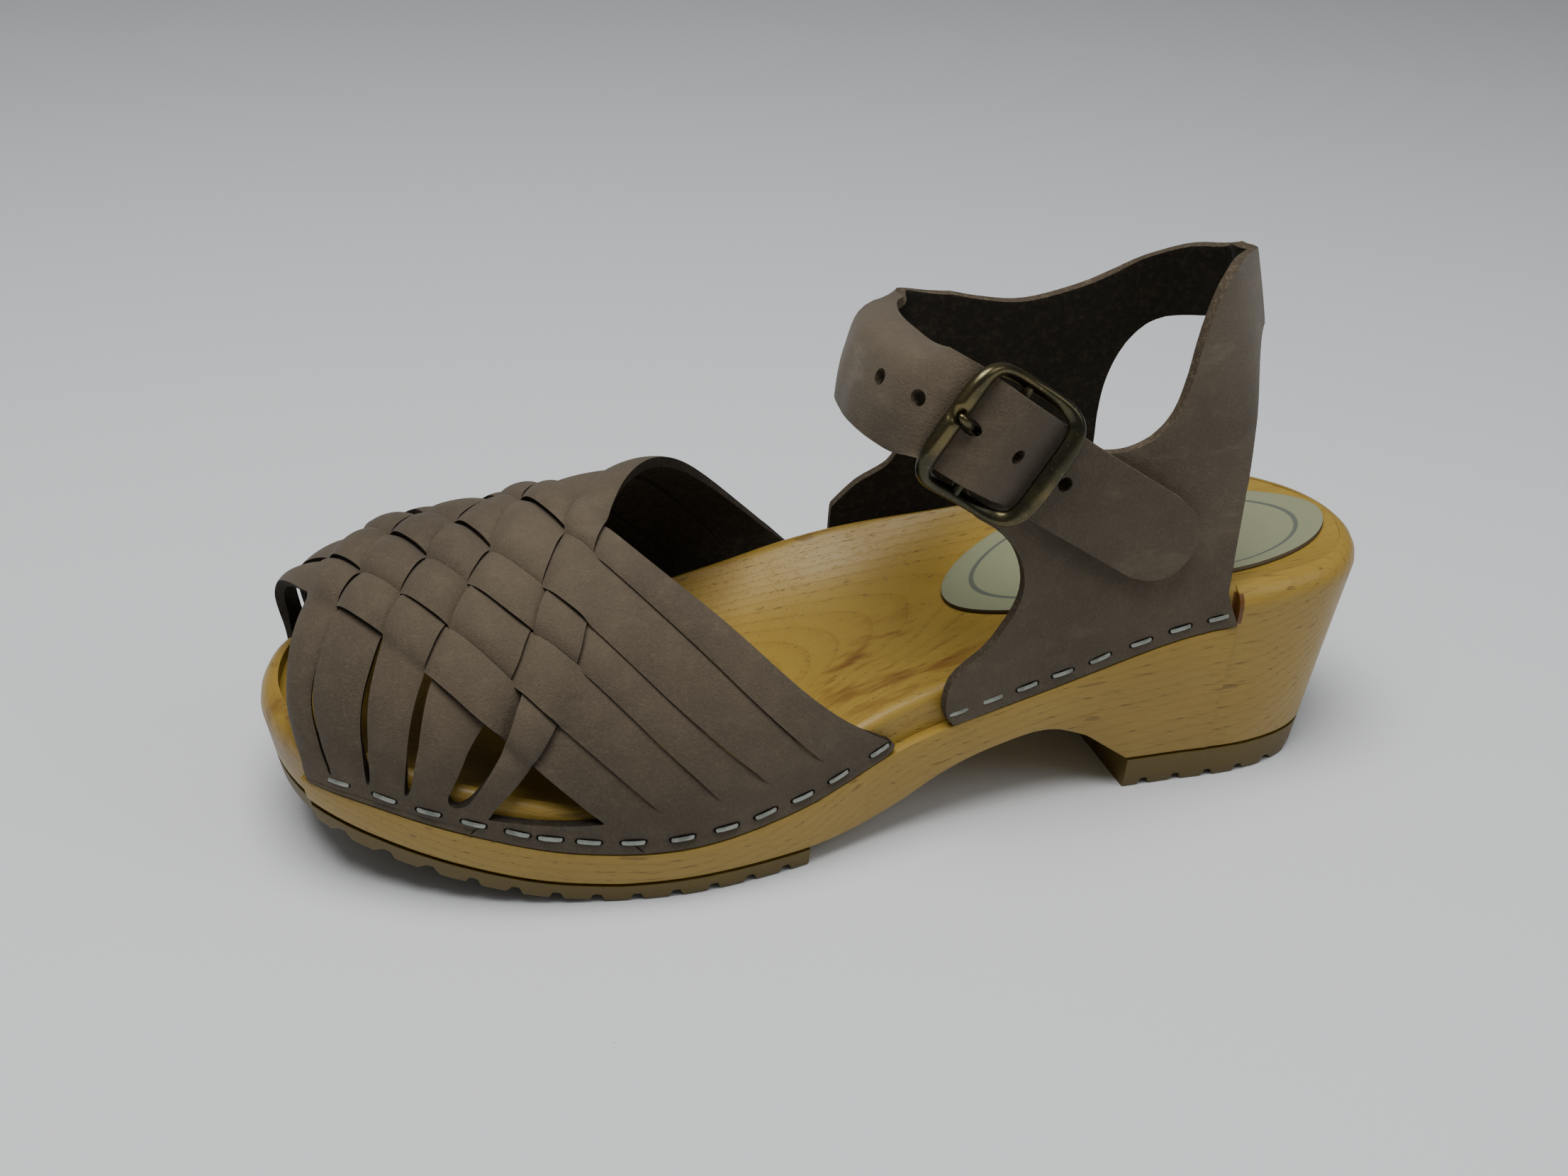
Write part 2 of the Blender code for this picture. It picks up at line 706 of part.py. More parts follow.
def make_border(side):
    """Border of the vamp along one edge of the sole, in one piece with the strips."""
    rings = []
    back = BORDER_BACK_ENDS[side]
    low = back + REBATE_STEP
    high = BORDER_FRONT_END - REBATE_STEP
    between = [share for share in sole_stations() if low < share < high]
    for along in (back, *between, BORDER_FRONT_END):
        across, height, girth = last_section(along)
        reach = border_width(along) / girth[-1]
        levels = (0.0, reach / 2, reach)
        corners = []
        for level in levels:
            share = level if side > 0 else 1 - level
            point, outward = last_frame(along, share)
            corners.append((point + outward * LEATHER / 2, point - outward * LEATHER / 2))
        rings.append([corner[0] for corner in corners] + [corner[1] for corner in reversed(corners)])
    return finish_shape(loft(rings))


def make_vamp(collection, cutters):
    leather = material("nubuck", (0.20, 0.165, 0.14), 0.85)
    vamp = new_object("vamp", mesh_of("vamp", make_border(1)), collection, leather)
    pieces = [("inner border", make_border(-1))]
    for mirrored in (False, True):
        for number in range(STRIP_COUNT):
            pieces.append((f"strip {number} {mirrored}", make_strip(number, mirrored)))
    for name, shape in pieces:
        piece = hide_cutter(new_object(name, mesh_of(name, shape), cutters))
        combine(vamp, piece, "UNION")
    return vamp


def wall_point(turn, height):
    """Point of the ankle piece's wall at a part of its way round the heel and a height."""
    feet = []
    crowns = []
    rims = []
    for side, foot, draw, crown, crown_across in LOOP:
        edge = float(edge_across(side, foot)) - side * (LEATHER / 2 + draw * BALL_WIDTH) if side else 0.0
        feet.append((float(place_along(foot)), edge))
        crowns.append((float(place_along(crown)), crown_across * BALL_WIDTH))
        rims.append(float(rim_height(side or 1, foot)))
    keys = loop_keys()
    foot = np.array([flow(keys, [point[axis] for point in feet], turn) for axis in (0, 1)])
    crown = np.array([flow(keys, [point[axis] for point in crowns], turn) for axis in (0, 1)])
    rim = float(flow(keys, rims, turn))
    lean = (height - rim) / (HEEL_HEIGHT + COLLAR_RISE - rim)
    plan = foot + (crown - foot) * max(lean, 0.0)
    return np.array([plan[0], plan[1], height])


def loop_keys():
    """Parts of the way round at the rows of the loop table, by the length of the wall's foot."""
    places = [np.array([SOLE_LENGTH * row[1], BALL_WIDTH * LOOP_HALF * row[0]]) for row in LOOP]
    steps = [np.linalg.norm(after - before) for before, after in zip(places, places[1:])]
    return np.r_[0, np.cumsum(steps)] / sum(steps)


def turn_at(side, along):
    """Part of the way round at a station of one side."""
    keys = loop_keys()
    rows = [(row[1], key) for row, key in zip(LOOP, keys) if row[0] == side or row[0] == 0]
    rows.sort()
    return float(np.interp(along, [row[0] for row in rows], [row[1] for row in rows]))


def collar_height(level):
    return HEEL_HEIGHT + COLLAR_RISE * level


def wrapped(turn, height, out):
    step = 0.002
    point = wall_point(turn, height)
    around = wall_point(turn + step, height) - wall_point(turn - step, height)
    upward = wall_point(turn, height + step) - wall_point(turn, height - step)
    outward = np.cross(upward, around)
    return point + outward / np.linalg.norm(outward) * out


def foot_edge(side, back, front, count):
    """Lower edge of a quarter, just over the ledge of the sole."""
    shares = np.linspace(back, front, count)
    return [(turn_at(side, along), float(ledge_height(side, along)) + GAP) for along in shares]


def edge_points(side, rows, count):
    points = [(turn_at(side, along), collar_height(level)) for along, level in rows]
    return [tuple(point) for point in flow_through(points, count)]


def ankle_outline():
    """Cut of the leather as it lies flat: turn round the heel and height."""
    rear = turn_at(0, LOOP[len(LOOP) // 2][1])
    low, high = (collar_height(level) for level in REAR_BAND)
    outline = foot_edge(1, QUARTER_BACK, QUARTER_FRONT, 8)
    outline += edge_points(1, NEAR_FRONT, 9)
    outline += tab_points()
    outline += edge_points(1, NEAR_TOP, 15)
    outline += [(rear, high)]
    outline += edge_points(-1, FAR_TOP, 9)
    outline += edge_points(-1, FAR_FRONT, 9)
    outline += list(reversed(foot_edge(-1, FAR_ARCH[0][0], FAR_FOOT_FRONT, 8)))
    outline += edge_points(-1, FAR_ARCH, 11)
    outline += [(rear, low)]
    outline += edge_points(1, NEAR_ARCH, 10)
    return outline


def buckle_frame_of_reference():
    """Middle of the buckle's bar and the directions along the strap, across it and outwards."""
    slope = math.radians(STRAP_SLOPE)
    ahead = np.array([math.cos(slope), 0.0, math.sin(slope)])
    across = np.array([-math.sin(slope), 0.0, math.cos(slope)])
    outward = np.array([0.0, 1.0, 0.0])
    height = collar_height(BUCKLE_LEVEL)
    wall = wall_point(turn_at(1, BUCKLE_ALONG), height)
    bar = wall + outward * (LEATHER / 2 + GAP + BAR_RADIUS)
    return bar, ahead, across, outward


def buckle_place(ahead_by, across_by, out_by):
    bar, ahead, across, outward = buckle_frame_of_reference()
    return bar + ahead * ahead_by + across * across_by + outward * out_by


def tab_points():
    """End of the tab under the buckle's bar."""
    points = []
    for side in (-1, 1):
        corner = buckle_place(0.0, side * FOLD_WIDTH / 2, 0.0)
        points.append((turn_at(1, (corner[0] + HEEL_REACH) / SOLE_LENGTH), corner[2]))
    return points


def make_ankle_wall():
    """The ankle piece: cut flat, divided for bending, thickened and then wrapped round the heel."""
    shape = bmesh.new()
    outline = ankle_outline()
    flat = [shape.verts.new((turn, height, 0)) for turn, height in outline]
    shape.faces.new(flat)
    turns = [turn for turn in np.linspace(0, 1, 41)[1:-1]]
    heights = np.linspace(collar_height(-0.3), collar_height(1.0), 9)
    planes = [((turn, 0, 0), (1, 0, 0)) for turn in turns]
    planes += [((0, height, 0), (0, 1, 0)) for height in heights]
    for place, direction in planes:
        everything = shape.verts[:] + shape.edges[:] + shape.faces[:]
        bmesh.ops.bisect_plane(shape, geom=everything, plane_co=place, plane_no=direction, dist=WELD)
    bmesh.ops.triangulate(shape, faces=shape.faces)
    raised = bmesh.ops.extrude_face_region(shape, geom=shape.faces[:], use_keep_orig=True)
    lifted = {part for part in raised["geom"] if isinstance(part, bmesh.types.BMVert)}
    for vert in shape.verts:
        out = LEATHER / 2 if vert in lifted else -LEATHER / 2
        vert.co = Vector(wrapped(vert.co.x, vert.co.y, out))
    return finish_shape(shape)


def over_bar():
    """How far the strap's middle stands out from the bar that it passes over."""
    return BAR_RADIUS + GAP + 2 * PRONG_RADIUS + GAP + LEATHER / 2


def frame_reach():
    """How far the middles of the frame's ends stand out from its bar, on top of the strap."""
    return STRAP_DIP + LEATHER / 2 + 3 * GAP + BUCKLE_WIRE * FRAME_SWELL


def strap_line():
    """Middle line of the strap with its width at each point, from its root to its tip."""
    rows = []
    for along, across, level, width in STRAP_WRAP:
        place = (float(place_along(along)), across * BALL_WIDTH, collar_height(level))
        rows.append((*place, width * STRAP_WIDTH))
    clear = LEATHER + GAP
    for part, rise in STRAP_HUMP:
        place = buckle_place(BUCKLE_LENGTH / 2 * part, 0.0, STRAP_DIP + (over_bar() - STRAP_DIP) * rise)
        rows.append((*place, STRAP_WIDTH))
    for share in (0.4, 0.6, 0.8, 1.0):
        place = buckle_place(-STRAP_TAIL * share, 0.0, 0.0)
        wall = wall_point(turn_at(1, (place[0] + HEEL_REACH) / SOLE_LENGTH), place[2])
        rows.append((place[0], wall[1] + clear + GAP, place[2], STRAP_WIDTH))
    return np.array(rows)


def make_strap():
    """The ankle strap as a bent bar with a round tip."""
    line = flow_through(strap_line(), 46)
    tangents = np.gradient(line[:, :3], axis=0)
    ankle = np.array([float(place_along(ANKLE_MIDDLE)), 0.0])
    length = np.r_[0, np.cumsum(np.linalg.norm(np.diff(line[:, :3], axis=0), axis=1))]
    left = length[-1] - length
    rings = []
    for point, tangent, remains in zip(line, tangents, left):
        radius = STRAP_WIDTH / 2
        width = point[3]
        if remains < radius:
            width = STRAP_WIDTH * math.sqrt(max(1 - (1 - remains / radius) ** 2, 0.04))
        ahead = tangent / np.linalg.norm(tangent)
        out = np.array([point[0] - ankle[0], (point[1] - ankle[1]) * 1.5, 0.0])
        out[2] = np.linalg.norm(out) * math.tan(math.radians(STRAP_LEAN)) * ahead[1] ** 2
        if point[1] > BALL_WIDTH * STRAP_FLAT:
            out = np.array([0.0, 1.0, 0.0])
        out = out - ahead * out.dot(ahead)
        out /= np.linalg.norm(out)
        across = np.cross(ahead, out)
        thick = STRAP_THICKNESS / 2
        centre = point[:3]
        rings.append([centre + across * width / 2 + out * thick, centre + out * thick,
                      centre - across * width / 2 + out * thick, centre - across * width / 2 - out * thick,
                      centre - out * thick, centre + across * width / 2 - out * thick])
    return finish_shape(loft(rings))


def rod(name, start, end, radius, sides, collection, finish=None):
    """Round bar between two points."""
    start = Vector(start)
    end = Vector(end)
    shape = bmesh.new()
    bmesh.ops.create_cone(shape, cap_ends=True, segments=sides, radius1=radius, radius2=radius,
                          depth=(end - start).length)
    turn = (end - start).to_track_quat("Z", "Y").to_matrix().to_4x4()
    bmesh.ops.transform(shape, matrix=Matrix.Translation((start + end) / 2) @ turn, verts=shape.verts)
    return new_object(name, mesh_of(name, shape), collection, finish)


def buckle_box(name, ahead_span, across_span, out_span, collection):
    """Box in the buckle's own directions, each span from its low to its high end."""
    shape = bmesh.new()
    bmesh.ops.create_cube(shape, size=1)
    for vert in shape.verts:
        ahead_by, across_by, out_by = (
            span[0] + (span[1] - span[0]) * (value + 0.5)
            for span, value in zip((ahead_span, across_span, out_span), vert.co)
        )
        vert.co = Vector(buckle_place(ahead_by, across_by, out_by))
    return hide_cutter(new_object(name, mesh_of(name, finish_shape(shape)), collection))


def prong_hole():
    return BUCKLE_LENGTH / 2 - BUCKLE_WIRE * 3.4


def strap_station(ahead_by):
    """Point of the strap's middle line and its outward direction, at a distance ahead of the bar."""
    line = flow_through(strap_line(), 200)[:, :3]
    bar, ahead, across, outward = buckle_frame_of_reference()
    start = np.argmin(np.linalg.norm(line - buckle_place(0.0, 0.0, over_bar()), axis=1))
    run = np.r_[0, np.cumsum(np.linalg.norm(np.diff(line, axis=0), axis=1))]
    place = int(np.argmin(np.abs(run[start] - run - ahead_by)))
    tangent = line[place + 1] - line[place - 1]
    out = np.cross(tangent, across if ahead_by < BUCKLE_LENGTH else np.array([0.0, 0.0, 1.0]))
    out /= np.linalg.norm(out)
    return line[place], out


def make_quarter(collection, cutters):
    leather = material("quarter nubuck", (0.22, 0.18, 0.155), 0.85)
    quarter = new_object("quarter", mesh_of("quarter", make_ankle_wall()), collection, leather)
    strap = hide_cutter(new_object("strap", mesh_of("strap", make_strap()), cutters))
    combine(quarter, strap, "UNION")
    half = FOLD_WIDTH / 2
    fold = rod("fold", buckle_place(0, -half, 0), buckle_place(0, half, 0),
               BAR_RADIUS + GAP + FOLD_LEATHER, 16, cutters)
    combine(quarter, hide_cutter(fold), "UNION")
    eye = rod("fold hollow", buckle_place(0, -2 * half, 0), buckle_place(0, 2 * half, 0),
              BAR_RADIUS + GAP, 12, cutters)
    combine(quarter, hide_cutter(eye), "DIFFERENCE")
    reach = BAR_RADIUS + 2 * GAP + 2 * PRONG_RADIUS
    side = PRONG_RADIUS + GAP
    slot = buckle_box("prong slot", (-reach, reach + GAP), (-side, side),
                      (-reach - LEATHER, reach - GAP), cutters)
    combine(quarter, slot, "DIFFERENCE")
    for step in (2, 1, -1, -2):
        middle, out = strap_station(prong_hole() + HOLE_PITCH * step)
        depth = LEATHER
        hole = rod(f"strap hole {step}", middle - out * depth, middle + out * depth, HOLE_RADIUS, 12, cutters)
        combine(quarter, hide_cutter(hole), "DIFFERENCE")
    passage = buckle_box("prong hole", (prong_hole() - HOLE_RADIUS * 1.7, prong_hole() + HOLE_RADIUS * 1.5),
                         (-side, side), (0.0, over_bar() + LEATHER), cutters)
    combine(quarter, passage, "DIFFERENCE")
    return quarter


def tube(name, points, radii, closed, collection, finish=None):
    """Bar with a round section along points, as thick as the radii."""
    curve = bpy.data.curves.new(name, "CURVE")
    curve.dimensions = "3D"
    curve.bevel_depth = 1.0
    curve.bevel_resolution = 2
    curve.use_fill_caps = True
    spline = curve.splines.new("POLY")
    spline.points.add(len(points) - 1)
    for point, place, radius in zip(spline.points, points, radii):
        point.co = (*place, 1)
        point.radius = radius
    spline.use_cyclic_u = closed
    guide = bpy.data.objects.new(name, curve)
    collection.objects.link(guide)
    return mesh_from(guide, collection, finish)


def frame_outline():
    """Rounded square of the buckle: distances ahead of the bar and across the strap."""
    half_length = BUCKLE_LENGTH / 2 - BUCKLE_WIRE
    half_width = BUCKLE_WIDTH / 2 - BUCKLE_WIRE
    outline = []
    for turn in np.arange(40) / 40 * 2 * math.pi:
        ahead_by = half_length * math.copysign(abs(math.cos(turn)) ** FRAME_SQUARE, math.cos(turn))
        across_by = half_width * math.copysign(abs(math.sin(turn)) ** FRAME_SQUARE, math.sin(turn))
        outline.append((ahead_by, across_by))
    return outline


def make_buckle(collection, cutters):
    brass = material("antique brass", (0.28, 0.22, 0.11), 0.35, 1.0)
    half_length = BUCKLE_LENGTH / 2 - BUCKLE_WIRE
    points = []
    radii = []
    for ahead_by, across_by in frame_outline():
        end = (ahead_by / half_length) ** 2
        points.append(buckle_place(ahead_by, across_by, frame_reach() * end))
        radii.append(BUCKLE_WIRE * (FRAME_SLIM + (FRAME_SWELL - FRAME_SLIM) * end ** 3))
    frame = tube("buckle_frame", points, radii, True, collection, brass)
    reach = BUCKLE_WIDTH / 2 - BUCKLE_WIRE
    bar = rod("bar", buckle_place(0, -reach, 0), buckle_place(0, reach, 0), BAR_RADIUS, 12, cutters)
    combine(frame, hide_cutter(bar), "UNION")
    eye = BAR_RADIUS + GAP + PRONG_RADIUS
    path = [(eye * math.cos(turn), eye * math.sin(turn)) for turn in np.radians(np.arange(230, 89, -20))]
    top = frame_reach() + BUCKLE_WIRE * FRAME_SWELL + GAP + PRONG_RADIUS
    hole = prong_hole()
    path += [(eye, eye * 0.75), (hole * 0.62, eye * 0.2), (hole * 0.86, eye * 0.55)]
    path += [(hole * 1.03, top * 0.55), (hole * 1.2, top * 0.88)]
    path += [(half_length, top), (half_length + BUCKLE_WIRE, top)]
    line = [buckle_place(ahead_by, 0.0, out_by) for ahead_by, out_by in path]
    tube("buckle_prong", line, [PRONG_RADIUS] * len(line), False, collection, brass)


def main():
    for thing in list(bpy.data.objects):
        bpy.data.objects.remove(thing)
    collection = bpy.data.collections.new("clog sandal")
    cutters = bpy.data.collections.new("cutters")
    bpy.context.scene.collection.children.link(collection)
    bpy.context.scene.collection.children.link(cutters)
    make_sole(collection, cutters)
    make_treads(collection, cutters)
    make_label(collection)
    make_vamp(collection, cutters)
    make_quarter(collection, cutters)
    make_buckle(collection, cutters)


main()
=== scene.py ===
import math

import bpy
import numpy as np
from mathutils import Matrix, Vector


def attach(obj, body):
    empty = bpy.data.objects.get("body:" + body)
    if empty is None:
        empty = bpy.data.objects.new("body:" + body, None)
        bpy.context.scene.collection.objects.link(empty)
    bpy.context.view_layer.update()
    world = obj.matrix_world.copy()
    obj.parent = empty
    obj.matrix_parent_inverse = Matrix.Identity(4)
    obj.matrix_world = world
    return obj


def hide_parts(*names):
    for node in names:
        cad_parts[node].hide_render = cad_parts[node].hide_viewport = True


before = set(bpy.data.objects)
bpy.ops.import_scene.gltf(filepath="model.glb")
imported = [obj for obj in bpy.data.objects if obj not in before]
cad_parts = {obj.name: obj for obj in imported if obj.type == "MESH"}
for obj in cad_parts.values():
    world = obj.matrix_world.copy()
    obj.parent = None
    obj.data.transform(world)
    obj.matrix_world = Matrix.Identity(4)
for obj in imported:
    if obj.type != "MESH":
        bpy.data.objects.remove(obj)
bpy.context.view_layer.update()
body = "root"
mm = 0.001
print("frame loaded")

# Sizes of the shoe in metres, and shares of its length where no unit stands
sole = {
    "length": 247 * mm, "heelReach": 37 * mm, "ballWidth": 88 * mm, "heelHeight": 50 * mm,
    "heelTread": 8 * mm, "ballTread": 4.5 * mm, "rebateHeight": 8.5 * mm, "rimRound": 2.2 * mm,
    "openRim": 4.8 * mm, "rebateEnds": (0.172, 0.972), "breast": 0.253, "treadBack": 0.563,
    "landStart": 0.570, "landEnd": 0.730,
    "dish": 2.4, "edgeRound": 0.9 * mm, "treadRound": 0.5 * mm, "ledgeRound": 0.6 * mm,
}
leather = {
    "thickness": 2.3 * mm, "worn": 0.96, "gap": 0.3 * mm, "vampCrown": 76 * mm, "collarRise": 68 * mm,
}
tread = {"pitch": 8 * mm, "depth": 1.6 * mm, "width": 2.9 * mm}
label = {"centre": 0.212, "reach": 0.185, "half": 0.245, "thickness": 0.9 * mm}

# along, outer, inner: shares of length and ball width; rims, bed, tuck: in heel heights
stationNames = ("along", "outer", "inner", "rimOuter", "rimInner", "bed", "tuck")
stations = np.array([
    (0.000, 0.000, 0.000, 1.03, 1.03, 1.03, 0.18),
    (0.020, 0.188, 0.188, 1.03, 1.03, 1.03, 0.16),
    (0.060, 0.295, 0.295, 1.03, 1.03, 0.99, 0.12),
    (0.125, 0.347, 0.347, 1.02, 1.02, 0.95, 0.09),
    (0.220, 0.352, 0.352, 0.97, 1.00, 0.93, 0.09),
    (0.350, 0.352, 0.375, 0.79, 0.93, 0.82, 0.08),
    (0.480, 0.392, 0.425, 0.65, 0.82, 0.61, 0.06),
    (0.580, 0.466, 0.480, 0.50, 0.64, 0.43, 0.05),
    (0.670, 0.500, 0.511, 0.43, 0.51, 0.36, 0.05),
    (0.760, 0.480, 0.517, 0.45, 0.48, 0.36, 0.06),
    (0.850, 0.425, 0.494, 0.55, 0.54, 0.42, 0.08),
    (0.920, 0.330, 0.432, 0.63, 0.61, 0.50, 0.10),
    (0.970, 0.210, 0.341, 0.66, 0.64, 0.57, 0.12),
    (1.000, -0.068, 0.068, 0.66, 0.66, 0.62, 0.13),
])
# Underside of the wood in front of the heel: share of the length, rise over the ball in heel heights
underside = np.array([
    (0.298, 0.236), (0.332, 0.302), (0.389, 0.270), (0.437, 0.190), (0.482, 0.075), (0.530, 0.012),
    (0.570, 0.000), (0.730, 0.000), (0.790, 0.035), (0.850, 0.105), (0.920, 0.196), (0.980, 0.290),
    (1.040, 0.370),
])
# Ridge of the vamp: share of the length, height in vamp crowns, roundness of the section
ridge = np.array([
    (0.480, 1.000, 1.75), (0.580, 1.010, 1.75), (0.640, 0.995, 1.75), (0.690, 0.955, 1.75),
    (0.750, 0.908, 1.78), (0.806, 0.858, 1.80), (0.862, 0.833, 1.85), (0.920, 0.776, 1.90),
    (0.968, 0.687, 1.90), (1.000, 0.630, 1.90),
])
# Cuts between the strips, toe to throat, at five places on their way over the foot
cuts = np.array([
    (0.712, 0.856, 0.947, 0.972, 0.964),
    (0.661, 0.798, 0.907, 0.955, 0.943),
    (0.618, 0.737, 0.856, 0.913, 0.920),
    (0.574, 0.698, 0.806, 0.874, 0.896),
    (0.531, 0.642, 0.745, 0.806, 0.870),
    (0.482, 0.605, 0.715, 0.761, 0.847),
])
weave = {
    "crownShare": 0.44, "lift": 1.85 * mm, "rows": 132, "columns": 6, "crowding": 0.6, "slitRound": 0.022,
    "slitStart": 0.066, "slitEnd": 0.048, "borderRows": 11, "bandRows": 9,
    # how open the slits are on the way over, in strip widths
    "openAt": (0.0, 0.09, 0.13, 0.30, 0.50, 0.70, 0.85, 0.93, 1.0),
    "open": (0.0, 0.008, 0.012, 0.020, 0.07, 0.13, 0.24, 0.15, 0.0),
    "widest": 0.16, "camber": 0.75 * mm, "tilt": 0.60 * mm, "corner": 5.0 * mm,
    "stapleTrough": 0.40 * mm, "troughPlace": 3 * mm, "troughWidth": 1.3 * mm,
    "girth": 225 * mm, "stripWidth": 13.8 * mm,
}


def flow(keys, values, at):
    # smooth curve through the values at the keys
    keys = np.asarray(keys, float)
    values = np.asarray(values, float)
    slopes = np.gradient(values, keys)
    at = np.clip(np.asarray(at, float), keys[0], keys[-1])
    cell = np.clip(np.searchsorted(keys, at, side="right") - 1, 0, len(keys) - 2)
    step = keys[cell + 1] - keys[cell]
    part = (at - keys[cell]) / step
    rise = part * part * (3 - 2 * part)
    lead = part * (1 - part) ** 2
    tail = part * part * (part - 1)
    bend = slopes[cell] * lead + slopes[cell + 1] * tail
    return values[cell] * (1 - rise) + values[cell + 1] * rise + step * bend


def unit(vectors):
    return vectors / np.linalg.norm(vectors, axis=-1)[..., None]


def runAlong(points):
    # distance along a line of points
    return np.r_[0, np.cumsum(np.linalg.norm(np.diff(points, axis=0), axis=1))]


def smooth(low, high, value):
    part = np.clip((np.asarray(value, float) - low) / (high - low), 0, 1)
    return part * part * (3 - 2 * part)


def turnOf(share):
    return np.arccos(1 - 2 * np.clip(np.asarray(share, float), 0, 1))


def station(name, along):
    return flow(turnOf(stations[:, 0]), stations[:, stationNames.index(name)], turnOf(along))


def placeAlong(along):
    return -sole["heelReach"] + sole["length"] * np.asarray(along, float)


def shareOf(x):
    return (np.asarray(x, float) + sole["heelReach"]) / sole["length"]


def edgeAcross(side, along):
    return side * sole["ballWidth"] * station("outer" if side > 0 else "inner", along)


def rimHeight(side, along):
    return sole["heelHeight"] * station("rimOuter" if side > 0 else "rimInner", along)


def bedHeight(along, across):
    inset = leather["thickness"] + leather["gap"] + sole["rimRound"]
    outer = edgeAcross(1, along) - inset
    inner = edgeAcross(-1, along) + inset
    middle = (outer + inner) / 2
    spread = np.clip(np.abs(across - middle) / np.maximum((outer - inner) / 2, 1e-6), 0, 1)
    part = np.clip((across - inner) / np.maximum(outer - inner, 1e-6), 0, 1)
    rim = rimHeight(-1, along) * (1 - part) + rimHeight(1, along) * part
    bed = sole["heelHeight"] * station("bed", along)
    return bed + (rim - bed) * spread ** sole["dish"]


def undersideHeight(x):
    # heel seat, breast, arch and forefoot of the wood, seen from the side
    keys = placeAlong(underside[:, 0])
    front = sole["ballTread"] + sole["heelHeight"] * flow(keys, underside[:, 1], x)
    flat = (x > placeAlong(sole["landStart"])) & (x < placeAlong(sole["landEnd"]))
    front = np.where(flat, sole["ballTread"], front)
    corner = float(placeAlong(sole["breast"]))
    share = np.clip((x - corner) / (keys[0] - corner), 0, 1)
    first = sole["ballTread"] + sole["heelHeight"] * underside[0, 1]
    slope = sole["heelTread"] + (first - sole["heelTread"]) * share
    return np.where(x <= corner, sole["heelTread"], np.where(x < keys[0], slope, front))


def deselect():
    if bpy.context.object and bpy.context.object.mode != "OBJECT":
        bpy.ops.object.mode_set(mode="OBJECT")
    bpy.ops.object.select_all(action="DESELECT")


def activate(thing):
    deselect()
    thing.select_set(True)
    bpy.context.view_layer.objects.active = thing


def gridSheet(name, places):
    # a grid primitive whose points are set to the places, rows by columns
    rows, columns = places.shape[:2]
    deselect()
    bpy.ops.mesh.primitive_grid_add(x_subdivisions=columns - 1, y_subdivisions=rows - 1, size=2)
    sheet = bpy.context.object
    sheet.name = name
    flat = np.array([vert.co[:2] for vert in sheet.data.vertices])
    column = np.rint((flat[:, 0] + 1) / 2 * (columns - 1)).astype(int)
    row = np.rint((flat[:, 1] + 1) / 2 * (rows - 1)).astype(int)
    sheet.data.vertices.foreach_set("co", places[row, column].ravel())
    sheet.data.update()
    return sheet


def joinPieces(name, pieces):
    deselect()
    for piece in pieces:
        piece.select_set(True)
    bpy.context.view_layer.objects.active = pieces[0]
    if len(pieces) > 1:
        bpy.ops.object.join()
    whole = bpy.context.object
    whole.name = name
    return whole


def weld(piece, distance=0.000002, outside=True):
    activate(piece)
    bpy.ops.object.mode_set(mode="EDIT")
    bpy.ops.mesh.select_all(action="SELECT")
    bpy.ops.mesh.remove_doubles(threshold=distance)
    bpy.ops.mesh.dissolve_degenerate(threshold=distance)
    if outside:
        bpy.ops.mesh.normals_make_consistent(inside=False)
    bpy.ops.object.mode_set(mode="OBJECT")
    return piece


def closeEnds(piece):
    activate(piece)
    bpy.ops.object.mode_set(mode="EDIT")
    bpy.ops.mesh.select_mode(type="EDGE")
    bpy.ops.mesh.select_all(action="DESELECT")
    bpy.ops.mesh.select_non_manifold(extend=False, use_wire=False, use_boundary=True,
                                     use_multi_face=False, use_non_contiguous=False, use_verts=False)
    bpy.ops.mesh.edge_face_add()
    bpy.ops.mesh.select_mode(type="VERT")
    bpy.ops.object.mode_set(mode="OBJECT")
    return piece


def gridCuts(spans):
    # cuts the active sheet along straight planes
    bpy.ops.object.mode_set(mode="EDIT")
    for place, normal in spans:
        bpy.ops.mesh.select_all(action="SELECT")
        bpy.ops.mesh.bisect(plane_co=place, plane_no=normal)
    bpy.ops.object.mode_set(mode="OBJECT")


def applyStep(piece, kind, **settings):
    activate(piece)
    step = piece.modifiers.new(kind.lower(), kind)
    for key, value in settings.items():
        setattr(step, key, value)
    bpy.ops.object.modifier_apply(modifier=step.name)
    return piece


def addFinishes(piece, finishes):
    for finish in finishes:
        piece.data.materials.append(finish)


def finishPiece(piece, finishes, angle=40, replaces=()):
    # shading, material, and what the piece rides on and stands for
    addFinishes(piece, finishes[len(piece.data.materials):])
    for place, finish in enumerate(finishes):
        piece.data.materials[place] = finish
    activate(piece)
    bpy.ops.object.shade_smooth_by_angle(angle=math.radians(angle))
    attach(piece, body)
    if replaces:
        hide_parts(*replaces)
    return piece


class Signal:
    # a socket that adds, scales and takes powers like a number
    def __init__(self, maker, socket):
        self.maker = maker
        self.socket = socket

    def calc(self, operation, *others):
        return self.maker.node("Math", {"operation": operation}, [self, *others])

    def __add__(self, other):
        return self.calc("ADD", other)

    __radd__ = __add__

    def __sub__(self, other):
        return self.calc("SUBTRACT", other)

    def __rsub__(self, other):
        return self.maker.node("Math", {"operation": "SUBTRACT"}, [other, self])

    def __mul__(self, other):
        return self.calc("MULTIPLY", other)

    __rmul__ = __mul__

    def __truediv__(self, other):
        return self.calc("DIVIDE", other)

    def __pow__(self, other):
        return self.calc("POWER", other)

    def between(self, low, high):
        # 0 below low, 1 above high, smooth in between
        settings = {"interpolation_type": "SMOOTHSTEP"}
        return self.maker.node("MapRange", settings, {"Value": self, "From Min": low, "From Max": high})


